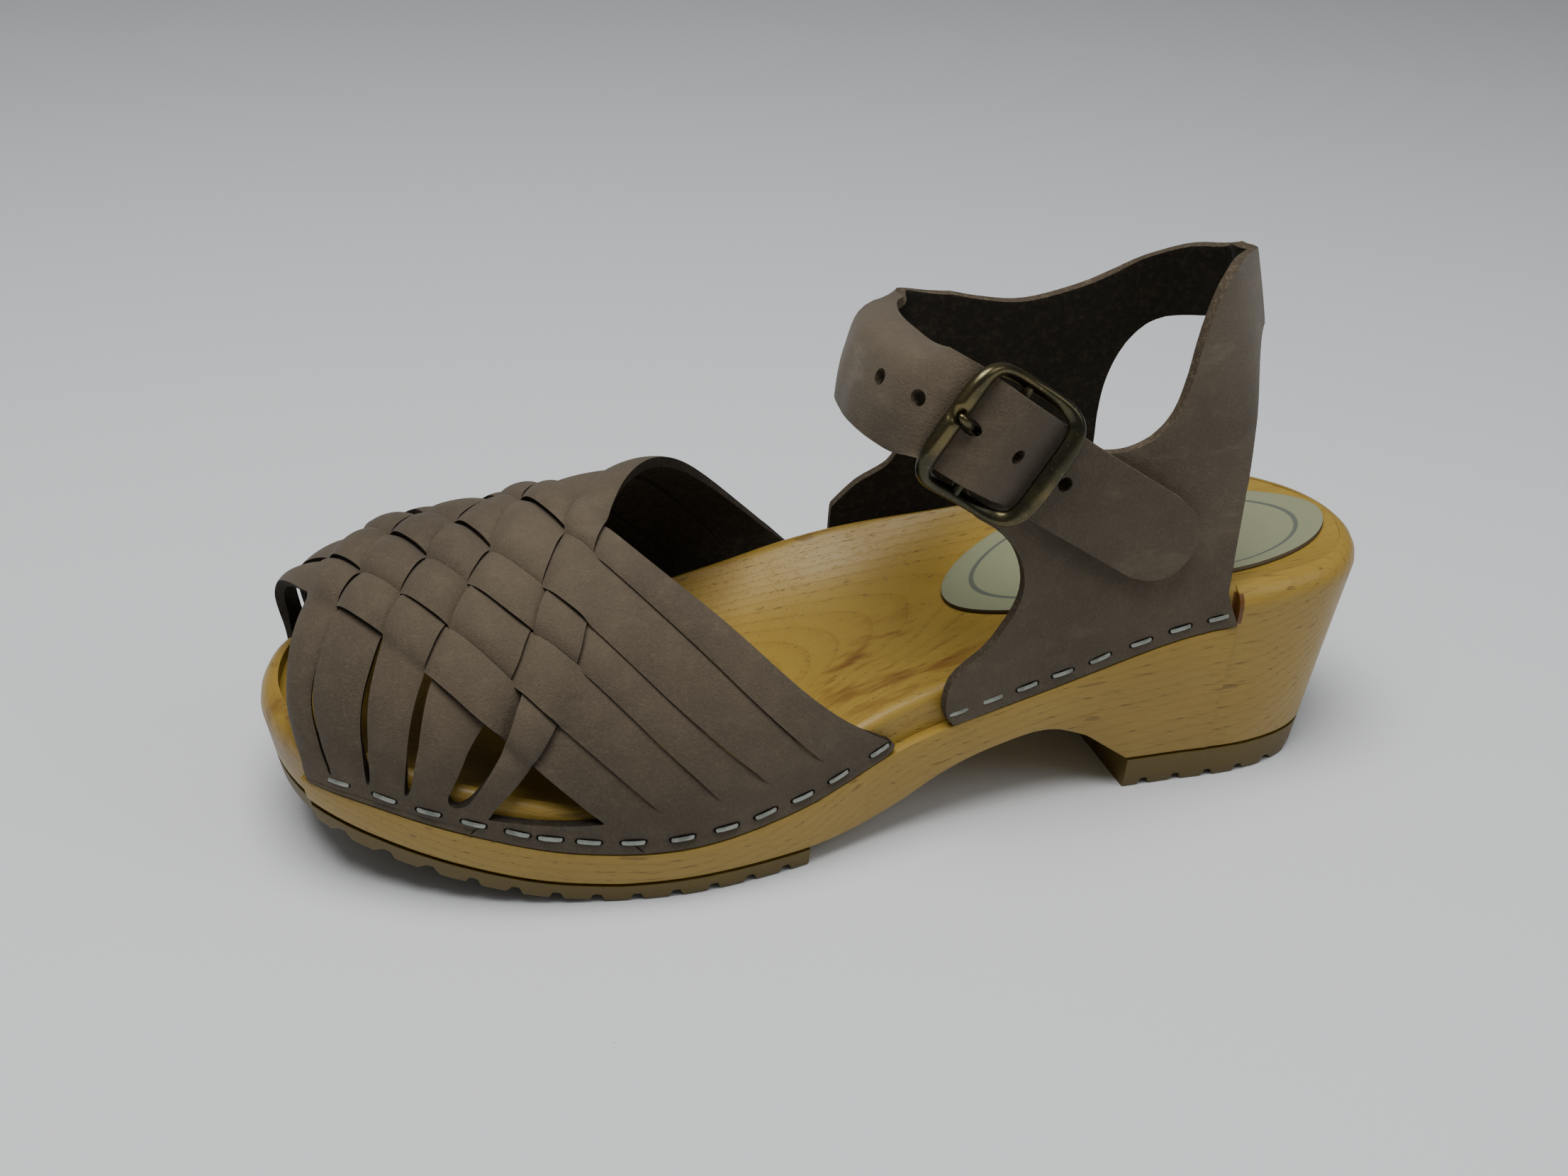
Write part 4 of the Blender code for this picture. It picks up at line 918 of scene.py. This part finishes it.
# Ankle piece: both quarters, the band behind the heel and the strap, cut from one hide
loopRows = np.array([
    (1, 0.480, 0.00, 0.480, 0.310), (1, 0.350, 0.00, 0.350, 0.310), (1, 0.250, 0.00, 0.245, 0.285),
    (1, 0.190, 0.00, 0.197, 0.215), (1, 0.164, 0.00, 0.177, 0.160), (1, 0.130, 0.16, 0.156, 0.100),
    (0, 0.101, 0.00, 0.143, 0.000),
    (-1, 0.130, 0.16, 0.156, -0.100), (-1, 0.164, 0.00, 0.177, -0.160), (-1, 0.190, 0.00, 0.197, -0.215),
    (-1, 0.250, 0.00, 0.250, -0.250), (-1, 0.350, 0.00, 0.350, -0.270), (-1, 0.480, 0.00, 0.480, -0.280),
])
nearFront = (
    (0.437, -0.338), (0.4435, -0.305), (0.446, -0.255), (0.443, -0.195), (0.405, -0.075), (0.380, 0.100),
    (0.388, 0.215), (0.411, 0.309), (0.430, 0.355),
)
nearTop = (
    (0.388, 0.640), (0.352, 0.560), (0.326, 0.519), (0.302, 0.512), (0.277, 0.544), (0.262, 0.594),
    (0.247, 0.721), (0.241, 0.809), (0.231, 0.900), (0.215, 0.975), (0.190, 1.020),
)
farTop = (
    (0.150, 0.926), (0.184, 0.866), (0.219, 0.798), (0.261, 0.740), (0.308, 0.706), (0.345, 0.722),
    (0.372, 0.742),
)
farFront = ((0.400, 0.440), (0.402, 0.300), (0.409, 0.132), (0.441, 0.044), (0.462, -0.044))
farArch = (
    (0.212, -0.050), (0.209, 0.147), (0.211, 0.280), (0.208, 0.420), (0.195, 0.545), (0.175, 0.630),
    (0.150, 0.675),
)
nearArch = ((0.143, 0.700), (0.149, 0.668), (0.154, 0.600), (0.162, 0.500), (0.176, 0.250), (0.186, 0.000))
rearTop = ((0.345, 1.018), (0.400, 0.996), (0.455, 0.988), (0.510, 0.985), (0.565, 0.970), (0.612, 0.950))
rearLow = 0.680
# levels, how far the rear leans in there in millimetres, and its reach round the heel
rearCurl = ((0.0, 0.3, 0.62, 0.82, 1.04), (0.0, -0.2, -0.9, 0.7, 3.8), 0.16)
quarterEnds = {"front": 0.428, "back": 0.172, "farFront": 0.462, "loopHalf": 0.34}
strap = {
    "width": 18.5 * mm, "slope": 33, "lean": 38, "tail": 56 * mm, "along": 0.4255, "level": 0.598,
    "dip": 0.5 * mm, "holes": (29.4 * mm, 18.5 * mm, -4.0 * mm, -20.5 * mm), "holeRadius": 1.6 * mm,
    "ankle": 0.36, "root": 0.372, "blend": 26 * mm, "turnStart": 0.10, "turnEnd": 0.36, "aside": 1.2 * mm,
    "splay": 1.5, "bulgeHalf": 0.57,
    # where the rounding starts, from the line's start, where it stops and the tail lies down, from the bar
    "roundStart": (16 * mm, 38 * mm), "roundStop": (-24 * mm, -12 * mm), "tailStart": (13 * mm, 20 * mm),
    # how far below the middle line strap and quarter become one
    "branch": (20 * mm, 9 * mm),
}
buckle = {
    "length": 26 * mm, "wire": 1.7 * mm, "bar": 1.2 * mm, "fold": 1.4 * mm, "foldWidth": 15 * mm,
    "prong": 0.9 * mm, "prongWire": 1.0 * mm, "halfLength": 12.7 * mm, "halfWidth": 13.2 * mm, "square": 0.40,
    "endWide": 2.3 * mm, "sideWide": 1.4 * mm, "endTall": 1.7 * mm, "sideTall": 1.3 * mm, "endLift": 3.6 * mm,
    "notch": 1.5 * mm, "skew": 1.4 * mm, "back": 0.9 * mm, "aside": 0.8 * mm,
}
# Middle line of the strap: along, across, level over the heel in collar rises, width in strap widths
strapWrap = (
    (0.335, -0.308, 0.560, 1.10), (0.370, -0.306, 0.575, 1.20), (0.405, -0.296, 0.600, 1.24),
    (0.442, -0.258, 0.640, 1.20), (0.468, -0.170, 0.672, 1.12), (0.488, -0.030, 0.702, 1.12),
    (0.495, 0.130, 0.722, 1.15), (0.486, 0.270, 0.716, 1.16),
)
# Over the bar: part of the way to the frame's ends, rise, width and how far off the middle
strapHump = (
    (1.0, 0.0, 1.16, 1.0), (0.72, 0.08, 1.15, 1.0), (0.38, 0.68, 1.14, 1.0), (0.0, 1.0, 1.12, 1.0),
    (-0.38, 0.68, 1.10, 0.9), (-0.72, 0.08, 1.08, 0.8), (-1.0, 0.0, 1.07, 0.7),
)


def collarHeight(level):
    return sole["heelHeight"] + leather["collarRise"] * np.asarray(level, float)


loopHalf = sole["ballWidth"] * quarterEnds["loopHalf"]
loopKeys = runAlong(np.stack([sole["length"] * loopRows[:, 1], loopHalf * loopRows[:, 0]], 1))
loopLength = float(loopKeys[-1])
loopKeys = loopKeys / loopLength
loopFeet = []
loopRims = []
for side, foot, draw, crown, crownAcross in loopRows:
    edge = 0.0
    if side:
        edge = float(edgeAcross(side, foot)) - side * (leather["thickness"] / 2 + draw * sole["ballWidth"])
    loopFeet.append((float(placeAlong(foot)), edge))
    loopRims.append(float(rimHeight(side or 1, foot)))
loopFeet = np.array(loopFeet)
loopCrowns = np.stack([placeAlong(loopRows[:, 3]), loopRows[:, 4] * sole["ballWidth"]], 1)


def wallPoint(turn, height):
    turn = np.asarray(turn, float)
    height = np.asarray(height, float)
    foot = np.stack([flow(loopKeys, loopFeet[:, axis], turn) for axis in (0, 1)], -1)
    crown = np.stack([flow(loopKeys, loopCrowns[:, axis], turn) for axis in (0, 1)], -1)
    rim = flow(loopKeys, loopRims, turn)
    lean = np.maximum((height - rim) / (collarHeight(1) - rim), 0)
    plan = foot + (crown - foot) * lean[..., None]
    # the band behind the heel stands out below and curls in at its top
    level = (height - sole["heelHeight"]) / leather["collarRise"]
    curl = flow(rearCurl[0], np.array(rearCurl[1]) * mm, level) * np.exp(-((turn - 0.5) / rearCurl[2]) ** 2)
    plan[..., 0] += curl
    return np.concatenate([plan, np.broadcast_to(height, turn.shape)[..., None]], -1)


def turnAt(side, along):
    rows = sorted((row[1], key) for row, key in zip(loopRows, loopKeys) if row[0] in (side, 0))
    return np.interp(along, [row[0] for row in rows], [row[1] for row in rows])


slope = math.radians(strap["slope"])
aheadWay = np.array([math.cos(slope), 0.0, math.sin(slope)])
acrossWay = np.array([-math.sin(slope), 0.0, math.cos(slope)])
outWay = np.array([0.0, 1.0, 0.0])
barMiddle = wallPoint(turnAt(1, strap["along"]), collarHeight(strap["level"])) \
    + outWay * (leather["thickness"] / 2 + leather["gap"] + buckle["bar"])


def bucklePlace(ahead, across, out):
    return barMiddle + aheadWay * ahead + acrossWay * across + outWay * out


overBar = buckle["bar"] + 2 * leather["gap"] + 2 * buckle["prong"] + leather["thickness"] / 2
prongHole = buckle["length"] / 2 - buckle["wire"] * 3.4


def flowThrough(points, count):
    points = np.asarray(points, float)
    keys = runAlong(points[:, :3])
    at = np.linspace(0, keys[-1], count)
    return np.stack([flow(keys, points[:, axis], at) for axis in range(points.shape[1])], 1)


def strapRows():
    rows = []
    for along, across, level, width in strapWrap:
        place = (float(placeAlong(along)), across * sole["ballWidth"], float(collarHeight(level)))
        rows.append((*place, width * strap["width"]))
    for part, rise, width, aside in strapHump:
        place = bucklePlace(buckle["length"] / 2 * part, aside * strap["aside"],
                            strap["dip"] + (overBar - strap["dip"]) * rise)
        rows.append((*place, width * strap["width"]))
    clear = leather["thickness"] + 2 * leather["gap"]
    for share in (0.4, 0.6, 0.8, 1.0):
        place = bucklePlace(-strap["tail"] * share, strap["aside"] * 0.5, 0.0)
        wall = wallPoint(turnAt(1, float(shareOf(place[0]))), place[2])
        rows.append((place[0], wall[1] + clear, place[2], strap["width"] * 1.05))
    return np.array(rows)


strapCount = 400
strapLine = flowThrough(strapRows(), strapCount)
strapRun = runAlong(strapLine[:, :3])
strapAhead = unit(np.gradient(strapLine[:, :3], axis=0))


def acrossStrap(way):
    # the part of a direction that lies square to the strap's run
    return way - strapAhead * np.sum(way * strapAhead, axis=1)[:, None]


strapOut = np.zeros((strapCount, 3))
strapOut[:, 0] = strapLine[:, 0] - float(placeAlong(strap["ankle"]))
strapOut[:, 1] = strapLine[:, 1] * strap["splay"]
leanRise = math.tan(math.radians(strap["lean"])) * strapAhead[:, 1] ** 2
strapOut[:, 2] = np.hypot(strapOut[:, 0], strapOut[:, 1]) * leanRise
strapAcross = unit(np.cross(strapAhead, acrossStrap(strapOut)))
turned = [sole["ballWidth"] * strap[name] for name in ("turnStart", "turnEnd")]
flatten = smooth(*turned, strapLine[:, 1])[:, None]
strapAcross = unit(acrossStrap(strapAcross * (1 - flatten) - acrossWay * flatten))
strapOut = np.cross(strapAcross, strapAhead)
strapRootTurn = float(turnAt(-1, strap["root"]))
strapRootRun = float(np.interp(float(placeAlong(strap["root"])), strapLine[:120, 0], strapRun[:120]))
strapRootFlat = strapRootTurn * loopLength
strapLevel = float(collarHeight(0.575))
strapEnd = strapRootFlat + strapRun[-1] - strapRootRun
fromBar = np.linalg.norm(strapLine[:, :3] - bucklePlace(0, strap["aside"], overBar), axis=1)
strapBar = float(strapRun[int(np.argmin(fromBar))])
# Bulge over the strap's width, from the lower to the upper edge, in millimetres
strapCamber = ((-1.0, -0.5, 0.0, 0.5, 0.8, 1.0), (-2.8, 0.2, 2.2, 3.2, 1.2, -2.2))
# Folds of the strap: start and end (run from the bar, height), reach, depth, in millimetres
strapFolds = (
    ((-42, 11), (-50, -9), 2.4, 0.40), ((-37, 10), (-43, -10), 2.4, -0.30), ((-56, 8), (-60, -9), 3.0, -0.25),
)


def strapPoint(flat, height):
    run = flat - strapRootFlat + strapRootRun
    centre, across, out = (np.stack([np.interp(run, strapRun, table[:, axis]) for axis in range(3)], -1)
                           for table in (strapLine, strapAcross, strapOut))
    rise = height - strapLevel
    # rounded across where it turns round the ankle, with the listed folds
    bend = smooth(*strap["roundStart"], run) * (1 - smooth(*strap["roundStop"], run - strapBar))
    levels, depths = strapCamber
    bulge = flow(levels, np.array(depths) * mm, rise / (strap["width"] * strap["bulgeHalf"])) * bend
    for start, end, reach, depth in strapFolds:
        start, end = np.array(start) * mm, np.array(end) * mm
        way = end - start
        spot = np.stack([run - strapBar, rise], -1) - start
        part = np.clip((spot @ way) / (way @ way), 0, 1)
        apart = np.linalg.norm(spot - part[..., None] * way, axis=-1)
        bulge = bulge + depth * mm * np.exp(-(apart / (reach * mm)) ** 2)
    places = centre - across * rise[..., None] + out * bulge[..., None]
    # the tail lies on the wall
    missed = wallPoint(turnAt(1, shareOf(places[..., 0])), places[..., 2])[..., 0] - places[..., 0]
    wall = wallPoint(turnAt(1, shareOf(places[..., 0] - missed)), places[..., 2])[..., 1] \
        + leather["thickness"] + leather["gap"] * 2
    behind = smooth(*strap["tailStart"], run - strapBar)
    places[..., 1] += np.maximum(wall - places[..., 1], 0) * behind
    return places


def onHide(flat, height):
    # place in space of a point of the flat hide
    turn = np.minimum(flat / loopLength, 1.0)
    wall = wallPoint(turn, height)
    strapped = strapPoint(flat, height)
    share = smooth(strapRootFlat - strap["blend"] / 3, strapRootFlat + strap["blend"], flat)
    low, high = strap["branch"]
    share = np.maximum(share * smooth(strapLevel - low, strapLevel - high, height),
                       smooth(loopLength, loopLength + 2 * mm, flat))[..., None]
    return wall * (1 - share) + strapped * share


def flatRows(side, rows):
    return [(turnAt(side, along) * loopLength, float(collarHeight(level))) for along, level in rows]


def footLine(side, back, front, count):
    shares = np.linspace(back, front, count)
    turns = turnAt(side, shares) * loopLength
    heights = rimHeight(side, shares) - sole["rebateHeight"] + leather["gap"]
    return list(zip(turns, heights))


def strapOutline():
    # upper edge out to the tip and lower edge back, in the flat hide
    runs = np.linspace(strapRootFlat + 6 * mm, strapEnd, 90)
    width = np.interp(runs - strapRootFlat + strapRootRun, strapRun, strapLine[:, 3])
    radius = strap["width"] / 2
    left = np.clip(strapEnd - runs, 0, radius)
    tip = np.sqrt(np.clip(1 - (1 - left / radius) ** 2, 0.0, 1))
    half = width / 2 * tip
    # finer points round the tip
    angles = np.radians(np.linspace(8, 172, 22))
    straight = runs < strapEnd - radius
    upper, lower = ([(run, strapLevel + way * size) for run, size in zip(runs[straight], half[straight])]
                    for way in (1, -1))
    tipArc = [(strapEnd - radius + radius * math.sin(angle), strapLevel + radius * math.cos(angle))
              for angle in angles]
    return upper + tipArc + lower[::-1]


def hideOutline():
    rear = 0.5 * loopLength
    low = collarHeight(rearLow)
    half = buckle["foldWidth"] / 2
    outline = footLine(1, quarterEnds["back"], quarterEnds["front"], 22)
    outline += list(flowThrough(flatRows(1, nearFront), 26))
    for side in (-1, 1):
        corner = bucklePlace(0.0, side * half, 0.0)
        outline.append((float(turnAt(1, float(shareOf(corner[0])))) * loopLength, corner[2]))
    crest = [(turn * loopLength, float(collarHeight(level))) for turn, level in rearTop]
    outline += list(flowThrough(flatRows(1, nearTop) + crest + flatRows(-1, farTop), 110))
    outline += strapOutline()
    outline += list(flowThrough(flatRows(-1, farFront), 20))
    outline += footLine(-1, farArch[0][0], quarterEnds["farFront"], 22)[::-1]
    outline += list(flowThrough(flatRows(-1, farArch) + [(rear, float(low))] + flatRows(1, nearArch), 74))
    return np.array(outline)


def makeHide():
    outline = hideOutline()
    deselect()
    bpy.ops.mesh.primitive_circle_add(vertices=len(outline), radius=1, fill_type="NGON")
    sheet = bpy.context.object
    sheet.name = "ankle_leather"
    flat = np.c_[outline, np.zeros(len(outline))]
    sheet.data.vertices.foreach_set("co", flat.ravel())
    sheet.data.update()
    step = 2.6 * mm
    lowest, highest = outline.min(0) + step, outline.max(0) - 1 * mm
    gridCuts([((x, 0, 0), (1, 0, 0)) for x in np.arange(lowest[0], highest[0], step)]
             + [((0, z, 0), (0, 1, 0)) for z in np.arange(lowest[1], highest[1], step)])
    activate(sheet)
    bpy.ops.object.mode_set(mode="EDIT")
    bpy.ops.mesh.select_all(action="SELECT")
    bpy.ops.mesh.remove_doubles(threshold=0.00015)
    bpy.ops.object.mode_set(mode="OBJECT")
    flat = np.array([vert.co[:] for vert in sheet.data.vertices])
    places = onHide(flat[:, 0], flat[:, 1])
    sheet.data.vertices.foreach_set("co", places.ravel())
    sheet.data.update()
    faceOut(sheet, (0.04, 0, 0.08))
    finishLeather(sheet, hideFinishes, ["quarter"])
    cutter = joinPieces("hole cutter", [holeRod(place) for place in strap["holes"]] + [prongBox()])
    addFinishes(cutter, hideFinishes)
    cutter.data.polygons.foreach_set("material_index", [2] * len(cutter.data.polygons))
    applyStep(sheet, "BOOLEAN", object=cutter, operation="DIFFERENCE", solver="EXACT")
    bpy.data.objects.remove(cutter)
    activate(sheet)
    bpy.ops.object.shade_smooth_by_angle(angle=math.radians(48))
    return sheet


def strapStation(ahead):
    # middle of the strap at a distance ahead of the bar, with its outward direction
    place = int(np.argmin(np.abs(strapBar - strapRun - ahead)))
    flat = strapRun[place] - strapRootRun + strapRootFlat
    return strapPoint(np.array([flat]), np.array([strapLevel]))[0], strapOut[place], strapAhead[place]


def holeRod(place):
    middle, out, _ = strapStation(place)
    deselect()
    depth = leather["thickness"] * 2
    bpy.ops.mesh.primitive_cylinder_add(vertices=28, radius=strap["holeRadius"], depth=depth)
    rod = bpy.context.object
    turn = Vector(out).to_track_quat("Z", "Y").to_matrix().to_4x4()
    rod.data.transform(Matrix.Translation(middle) @ turn)
    return rod


def prongBox():
    middle, out, ahead = strapStation(prongHole + strap["holeRadius"] * 0.2)
    deselect()
    bpy.ops.mesh.primitive_cylinder_add(vertices=28, radius=1, depth=1)
    rod = bpy.context.object
    across = np.cross(ahead, out)
    size = (strap["holeRadius"] * 1.55, strap["holeRadius"] * 0.95, leather["thickness"] * 2)
    basis = Matrix([[axis[row] * extent for axis, extent in zip((ahead, across, out), size)]
                    for row in range(3)])
    rod.data.transform(Matrix.Translation(middle) @ basis.to_4x4())
    if basis.determinant() < 0:
        rod.data.flip_normals()
    return rod


print("ankle piece")
hidePiece = makeHide()
print("ankle faces", len(hidePiece.data.polygons))


# Buckle
def framePlaces(points, wide, tall, sides):
    # closed cast ring: wide in its own plane, low, with its ridge near the outside
    ahead = unit(np.roll(points, -1, 0) - np.roll(points, 1, 0))
    inward = unit(np.cross(ahead, outWay))
    up = np.cross(inward, ahead)
    rings = []
    for turn in np.linspace(0, 2 * math.pi, sides + 1):
        rise = math.sin(turn) * (0.6 if math.sin(turn) < 0 else 1 - 0.35 * math.cos(turn))
        rings.append(points + inward * (math.cos(turn) * wide)[:, None] + up * (rise * tall)[:, None])
    rings = np.array(rings)
    return np.concatenate([rings, rings[:, :1]], 1)


def wirePlaces(line, radii, side, sides=14):
    # round wire along a line whose bends lie in one plane across the side direction
    ahead = unit(np.gradient(line, axis=0))
    up = unit(np.cross(side, ahead))
    return np.array([line + (side * math.cos(turn) + up * math.sin(turn)) * np.asarray(radii)[:, None]
                     for turn in np.linspace(0, 2 * math.pi, sides + 1)])


def makeBuckle():
    halfLength = buckle["halfLength"]
    halfWidth = buckle["halfWidth"]
    turns = np.arange(256) / 256 * 2 * math.pi
    points = np.stack([half * np.sign(swing(turns)) * np.abs(swing(turns)) ** buckle["square"]
                       for half, swing in ((halfLength, np.cos), (halfWidth, np.sin))], 1)
    closed = np.r_[points, points[:1]]
    run = runAlong(closed)
    at = np.linspace(0, run[-1], 161)[:-1]
    ahead, across = (np.interp(at, run, closed[:, axis]) for axis in (0, 1))
    end = np.clip(np.abs(ahead) / halfLength, 0, 1) ** 5
    middle = np.clip(1 - (across / halfWidth) ** 4, 0, 1)
    share = end * (0.45 + 0.55 * middle)
    wide = buckle["sideWide"] + (buckle["endWide"] - buckle["sideWide"]) * share
    tall = buckle["sideTall"] + (buckle["endTall"] - buckle["sideTall"]) * share
    notch = np.exp(-((across - buckle["skew"]) / buckle["notch"]) ** 4) * (ahead > 0)
    tall = tall * (1 - 0.45 * notch)
    lift = buckle["endLift"] * (np.abs(ahead) / halfLength) ** 2
    ring = zip(ahead - buckle["back"], across + buckle["aside"], lift)
    path = np.array([bucklePlace(*place) for place in ring])
    ring = weld(gridSheet("buckle_frame_cast", framePlaces(path, wide, tall, 20)))
    barPath = np.array([bucklePlace(0, across, 0) for across in np.linspace(-halfWidth, halfWidth, 9)])
    bar = gridSheet("bar", wirePlaces(barPath, [buckle["bar"]] * 9, outWay, 16))
    closeEnds(weld(bar))
    whole = joinPieces("buckle_frame_cast", [ring, bar])
    weld(whole)
    finishPiece(whole, [finishBrass], 60, ["buckle_frame"])
    radius = buckle["prongWire"]
    eye = buckle["bar"] + leather["gap"] + buckle["prong"]
    path = [(eye * math.cos(turn), eye * math.sin(turn)) for turn in np.radians(np.arange(230, 89, -14))]
    top = buckle["endLift"] + buckle["endTall"] * 0.55 + radius * 0.85
    hole = prongHole
    path += [(eye, eye * 0.75), (hole * 0.62, eye * 0.2), (hole * 0.90, eye * 0.60)]
    tip = halfLength - buckle["back"]
    path += [(hole * 1.10, top * 0.66), (hole * 1.32, top * 0.90), (tip - 1.2 * mm, top * 1.0)]
    path += [(tip + 0.6 * mm, top * 0.97)]
    veer = buckle["skew"] + buckle["aside"] - strap["aside"]
    line = flowThrough([bucklePlace(ahead, strap["aside"] * min(ahead / hole, 1)
                                    + veer * max(ahead - hole, 0) / (tip - hole), out)
                        for ahead, out in path], 70)
    radii = radius * np.interp(np.linspace(0, 1, 70), (0, 0.88, 0.97, 1), (1, 1, 0.85, 0.35))
    prong = closeEnds(weld(gridSheet("buckle_prong_wire", wirePlaces(line, radii, acrossWay))))
    finishPiece(weld(prong), [finishBrass], 60, ["buckle_prong"])
    # tab folded round the bar behind the strap
    fold = buckle["bar"] + leather["gap"] + buckle["fold"] / 2
    angles = np.radians(np.linspace(-92, 92, 25))
    rows = []
    for across in np.linspace(-buckle["foldWidth"] / 2, buckle["foldWidth"] / 2, 9):
        rows.append([bucklePlace(math.cos(angle) * fold, across, math.sin(angle) * fold) for angle in angles])
    tab = gridSheet("buckle_tab", np.array(rows))
    weld(tab)
    addFinishes(tab, hideFinishes)
    applyStep(tab, "SOLIDIFY", thickness=buckle["fold"], offset=0, material_offset=1, material_offset_rim=2)
    finishPiece(tab, hideFinishes, 48)


print("buckle")
makeBuckle()

# Staples along the lower edges, a share of the sole's length each
staples = {
    "crown": 4.8 * mm, "wire": 0.95 * mm, "leg": 2.2 * mm, "above": 3.0 * mm, "tilt": 0.05,
    "slotHalf": 2.85 * mm, "slotTall": 0.72 * mm,
    "vamp": (
        0.506, 0.545, 0.578, 0.611, 0.645, 0.682, 0.722, 0.757, 0.787, 0.812, 0.845, 0.878, 0.910, 0.943,
    ),
    "quarterOuter": (0.192, 0.228, 0.264, 0.301, 0.335, 0.368, 0.400, 0.432),
    "quarterInner": (0.234, 0.270, 0.306, 0.342, 0.380, 0.416, 0.448),
}


def edgePoint(side, share):
    return np.array([placeAlong(share), edgeAcross(side, share), rimHeight(side, share)], float)


def blunt(value, power):
    return math.copysign(abs(value) ** power, value)


def makeStaples():
    made = []
    slots = []
    half = staples["crown"] / 2
    # half of the wire's bend, from the middle out: along, out
    bend = ((half * 0.4, 0.30 * mm), (half * 0.84, 0.18 * mm), (half * 0.97, -0.2 * mm), (half, -0.9 * mm),
            (half, -staples["leg"]))
    path = [(-along, rise) for along, rise in bend[::-1]] + list(bend)
    rows = [(side, staples["vamp"]) for side in (1, -1)]
    rows += [(1, staples["quarterOuter"]), (-1, staples["quarterInner"])]
    for side, shares in rows:
        for number, share in enumerate(shares):
            place = edgePoint(side, share)
            place[2] += -sole["rebateHeight"] + leather["gap"] + staples["above"]
            ahead = unit(edgePoint(side, share + 0.001) - edgePoint(side, share - 0.001))
            out = unit(np.cross(ahead, (0, 0, 1)) * -side)
            tilt = math.sin(number * 2.4 + side) * staples["tilt"]
            ahead = unit(ahead * math.cos(tilt) + np.cross(out, ahead) * math.sin(tilt))
            up = np.cross(ahead, out)
            line = np.array([place + ahead * along + out * rise for along, rise in path])
            cross = np.cross(unit(np.gradient(line, axis=0)), up)
            wire = staples["wire"] / 2
            rings = [line + up * wire * math.cos(turn) + cross * wire * math.sin(turn) * 0.6
                     for turn in np.radians(np.arange(22.5, 383, 45))]
            made.append(gridSheet("staple", np.array(rings)))
            # near-black sheet round the wire, painted shade of the slot it is pressed into: size, height over
            # the leather in millimetres
            rim = []
            for size, rise in ((1.0, -0.30), (0.985, 0.10), (0.7, 0.13), (0.05, 0.13)):
                rim.append([place + ahead * blunt(math.cos(turn), 0.5) * staples["slotHalf"] * size
                            + up * blunt(math.sin(turn), 0.8) * staples["slotTall"] * size
                            + out * rise * mm
                            for turn in np.linspace(0, 2 * math.pi, 25)])
            slots.append(gridSheet("slot", np.array(rim)))
    whole = joinPieces("staples", made)
    weld(whole, 0.000001)
    closeEnds(whole)
    weld(whole, 0.000001)
    finishPiece(whole, [finishSteel], 50)
    # the dark sheets round the staples are painted shade
    slotShadeSheets = joinPieces("staple_slots", slots)
    weld(slotShadeSheets, 0.000001)
    finishPiece(slotShadeSheets, [makeSlotShadeFinish()], 50)


print("staples")
makeStaples()

# Floor, light and camera
studio = {
    "eye": (0.2057, 0.3358, 0.2344), "yaw": -107.68, "pitch": 28.18, "roll": -2.49, "lens": 42.6,
    "floor": 16.0, "sky": 0.27, "dim": (0.16, 0.16, 0.17, 1), "bright": (0.93, 0.96, 1.0, 1),
    "aim": (0.08, 0, 0.03),
    # name, place, size, power, colour
    "lamps": (
        ("ceiling", (0.24, 0.16, 0.95), 0.7, 10.8, (1.0, 0.99, 0.97)),
        ("window", (-0.75, 0.65, 0.80), 0.8, 3.0, (0.96, 0.98, 1.0)),
    ),
}


def makeStudio():
    deselect()
    bpy.ops.mesh.primitive_plane_add(size=studio["floor"], location=(0, 0, 0))
    floor = bpy.context.object
    floor.name = "floor"
    floor.data.materials.append(makeFloorFinish())
    # the room: bright overhead, dim at eye level
    world = bpy.data.worlds.new("studio")
    make = Maker(world, "Background")
    make.place = make.node("TexCoord", output="Generated")
    rise = make.node("MapRange", {}, {"Value": make.axis("Z"), "From Min": -0.05, "From Max": 0.75})
    make.feed(make.shader.inputs["Color"], make.mix(rise, studio["dim"], studio["bright"]))
    make.feed(make.shader.inputs["Strength"], studio["sky"])
    bpy.context.scene.world = world
    for name, place, size, power, colour in studio["lamps"]:
        lamp = bpy.data.lights.new(name, "AREA")
        lamp.shape = "DISK"
        lamp.size = size
        lamp.energy = power
        lamp.color = colour
        light = bpy.data.objects.new(name, lamp)
        bpy.context.scene.collection.objects.link(light)
        light.location = place
        aim = Vector(studio["aim"]) - Vector(place)
        light.rotation_euler = aim.to_track_quat("-Z", "Y").to_euler()
    yaw, pitch, roll = (math.radians(studio[name]) for name in ("yaw", "pitch", "roll"))
    forward = Vector((math.cos(yaw) * math.cos(pitch), math.sin(yaw) * math.cos(pitch), -math.sin(pitch)))
    right = Vector((math.sin(yaw), -math.cos(yaw), 0))
    down = forward.cross(right)
    rolled = right * math.cos(roll) + down * math.sin(roll)
    below = down * math.cos(roll) - right * math.sin(roll)
    lens = bpy.data.cameras.new("camera")
    lens.lens = studio["lens"]
    lens.sensor_width = 36
    lens.clip_start = 0.01
    eye = bpy.data.objects.new("camera", lens)
    bpy.context.scene.collection.objects.link(eye)
    turn = Matrix([rolled, -below, -forward]).transposed()
    eye.matrix_world = Matrix.Translation(studio["eye"]) @ turn.to_4x4()
    bpy.context.scene.camera = eye


print("studio")
makeStudio()
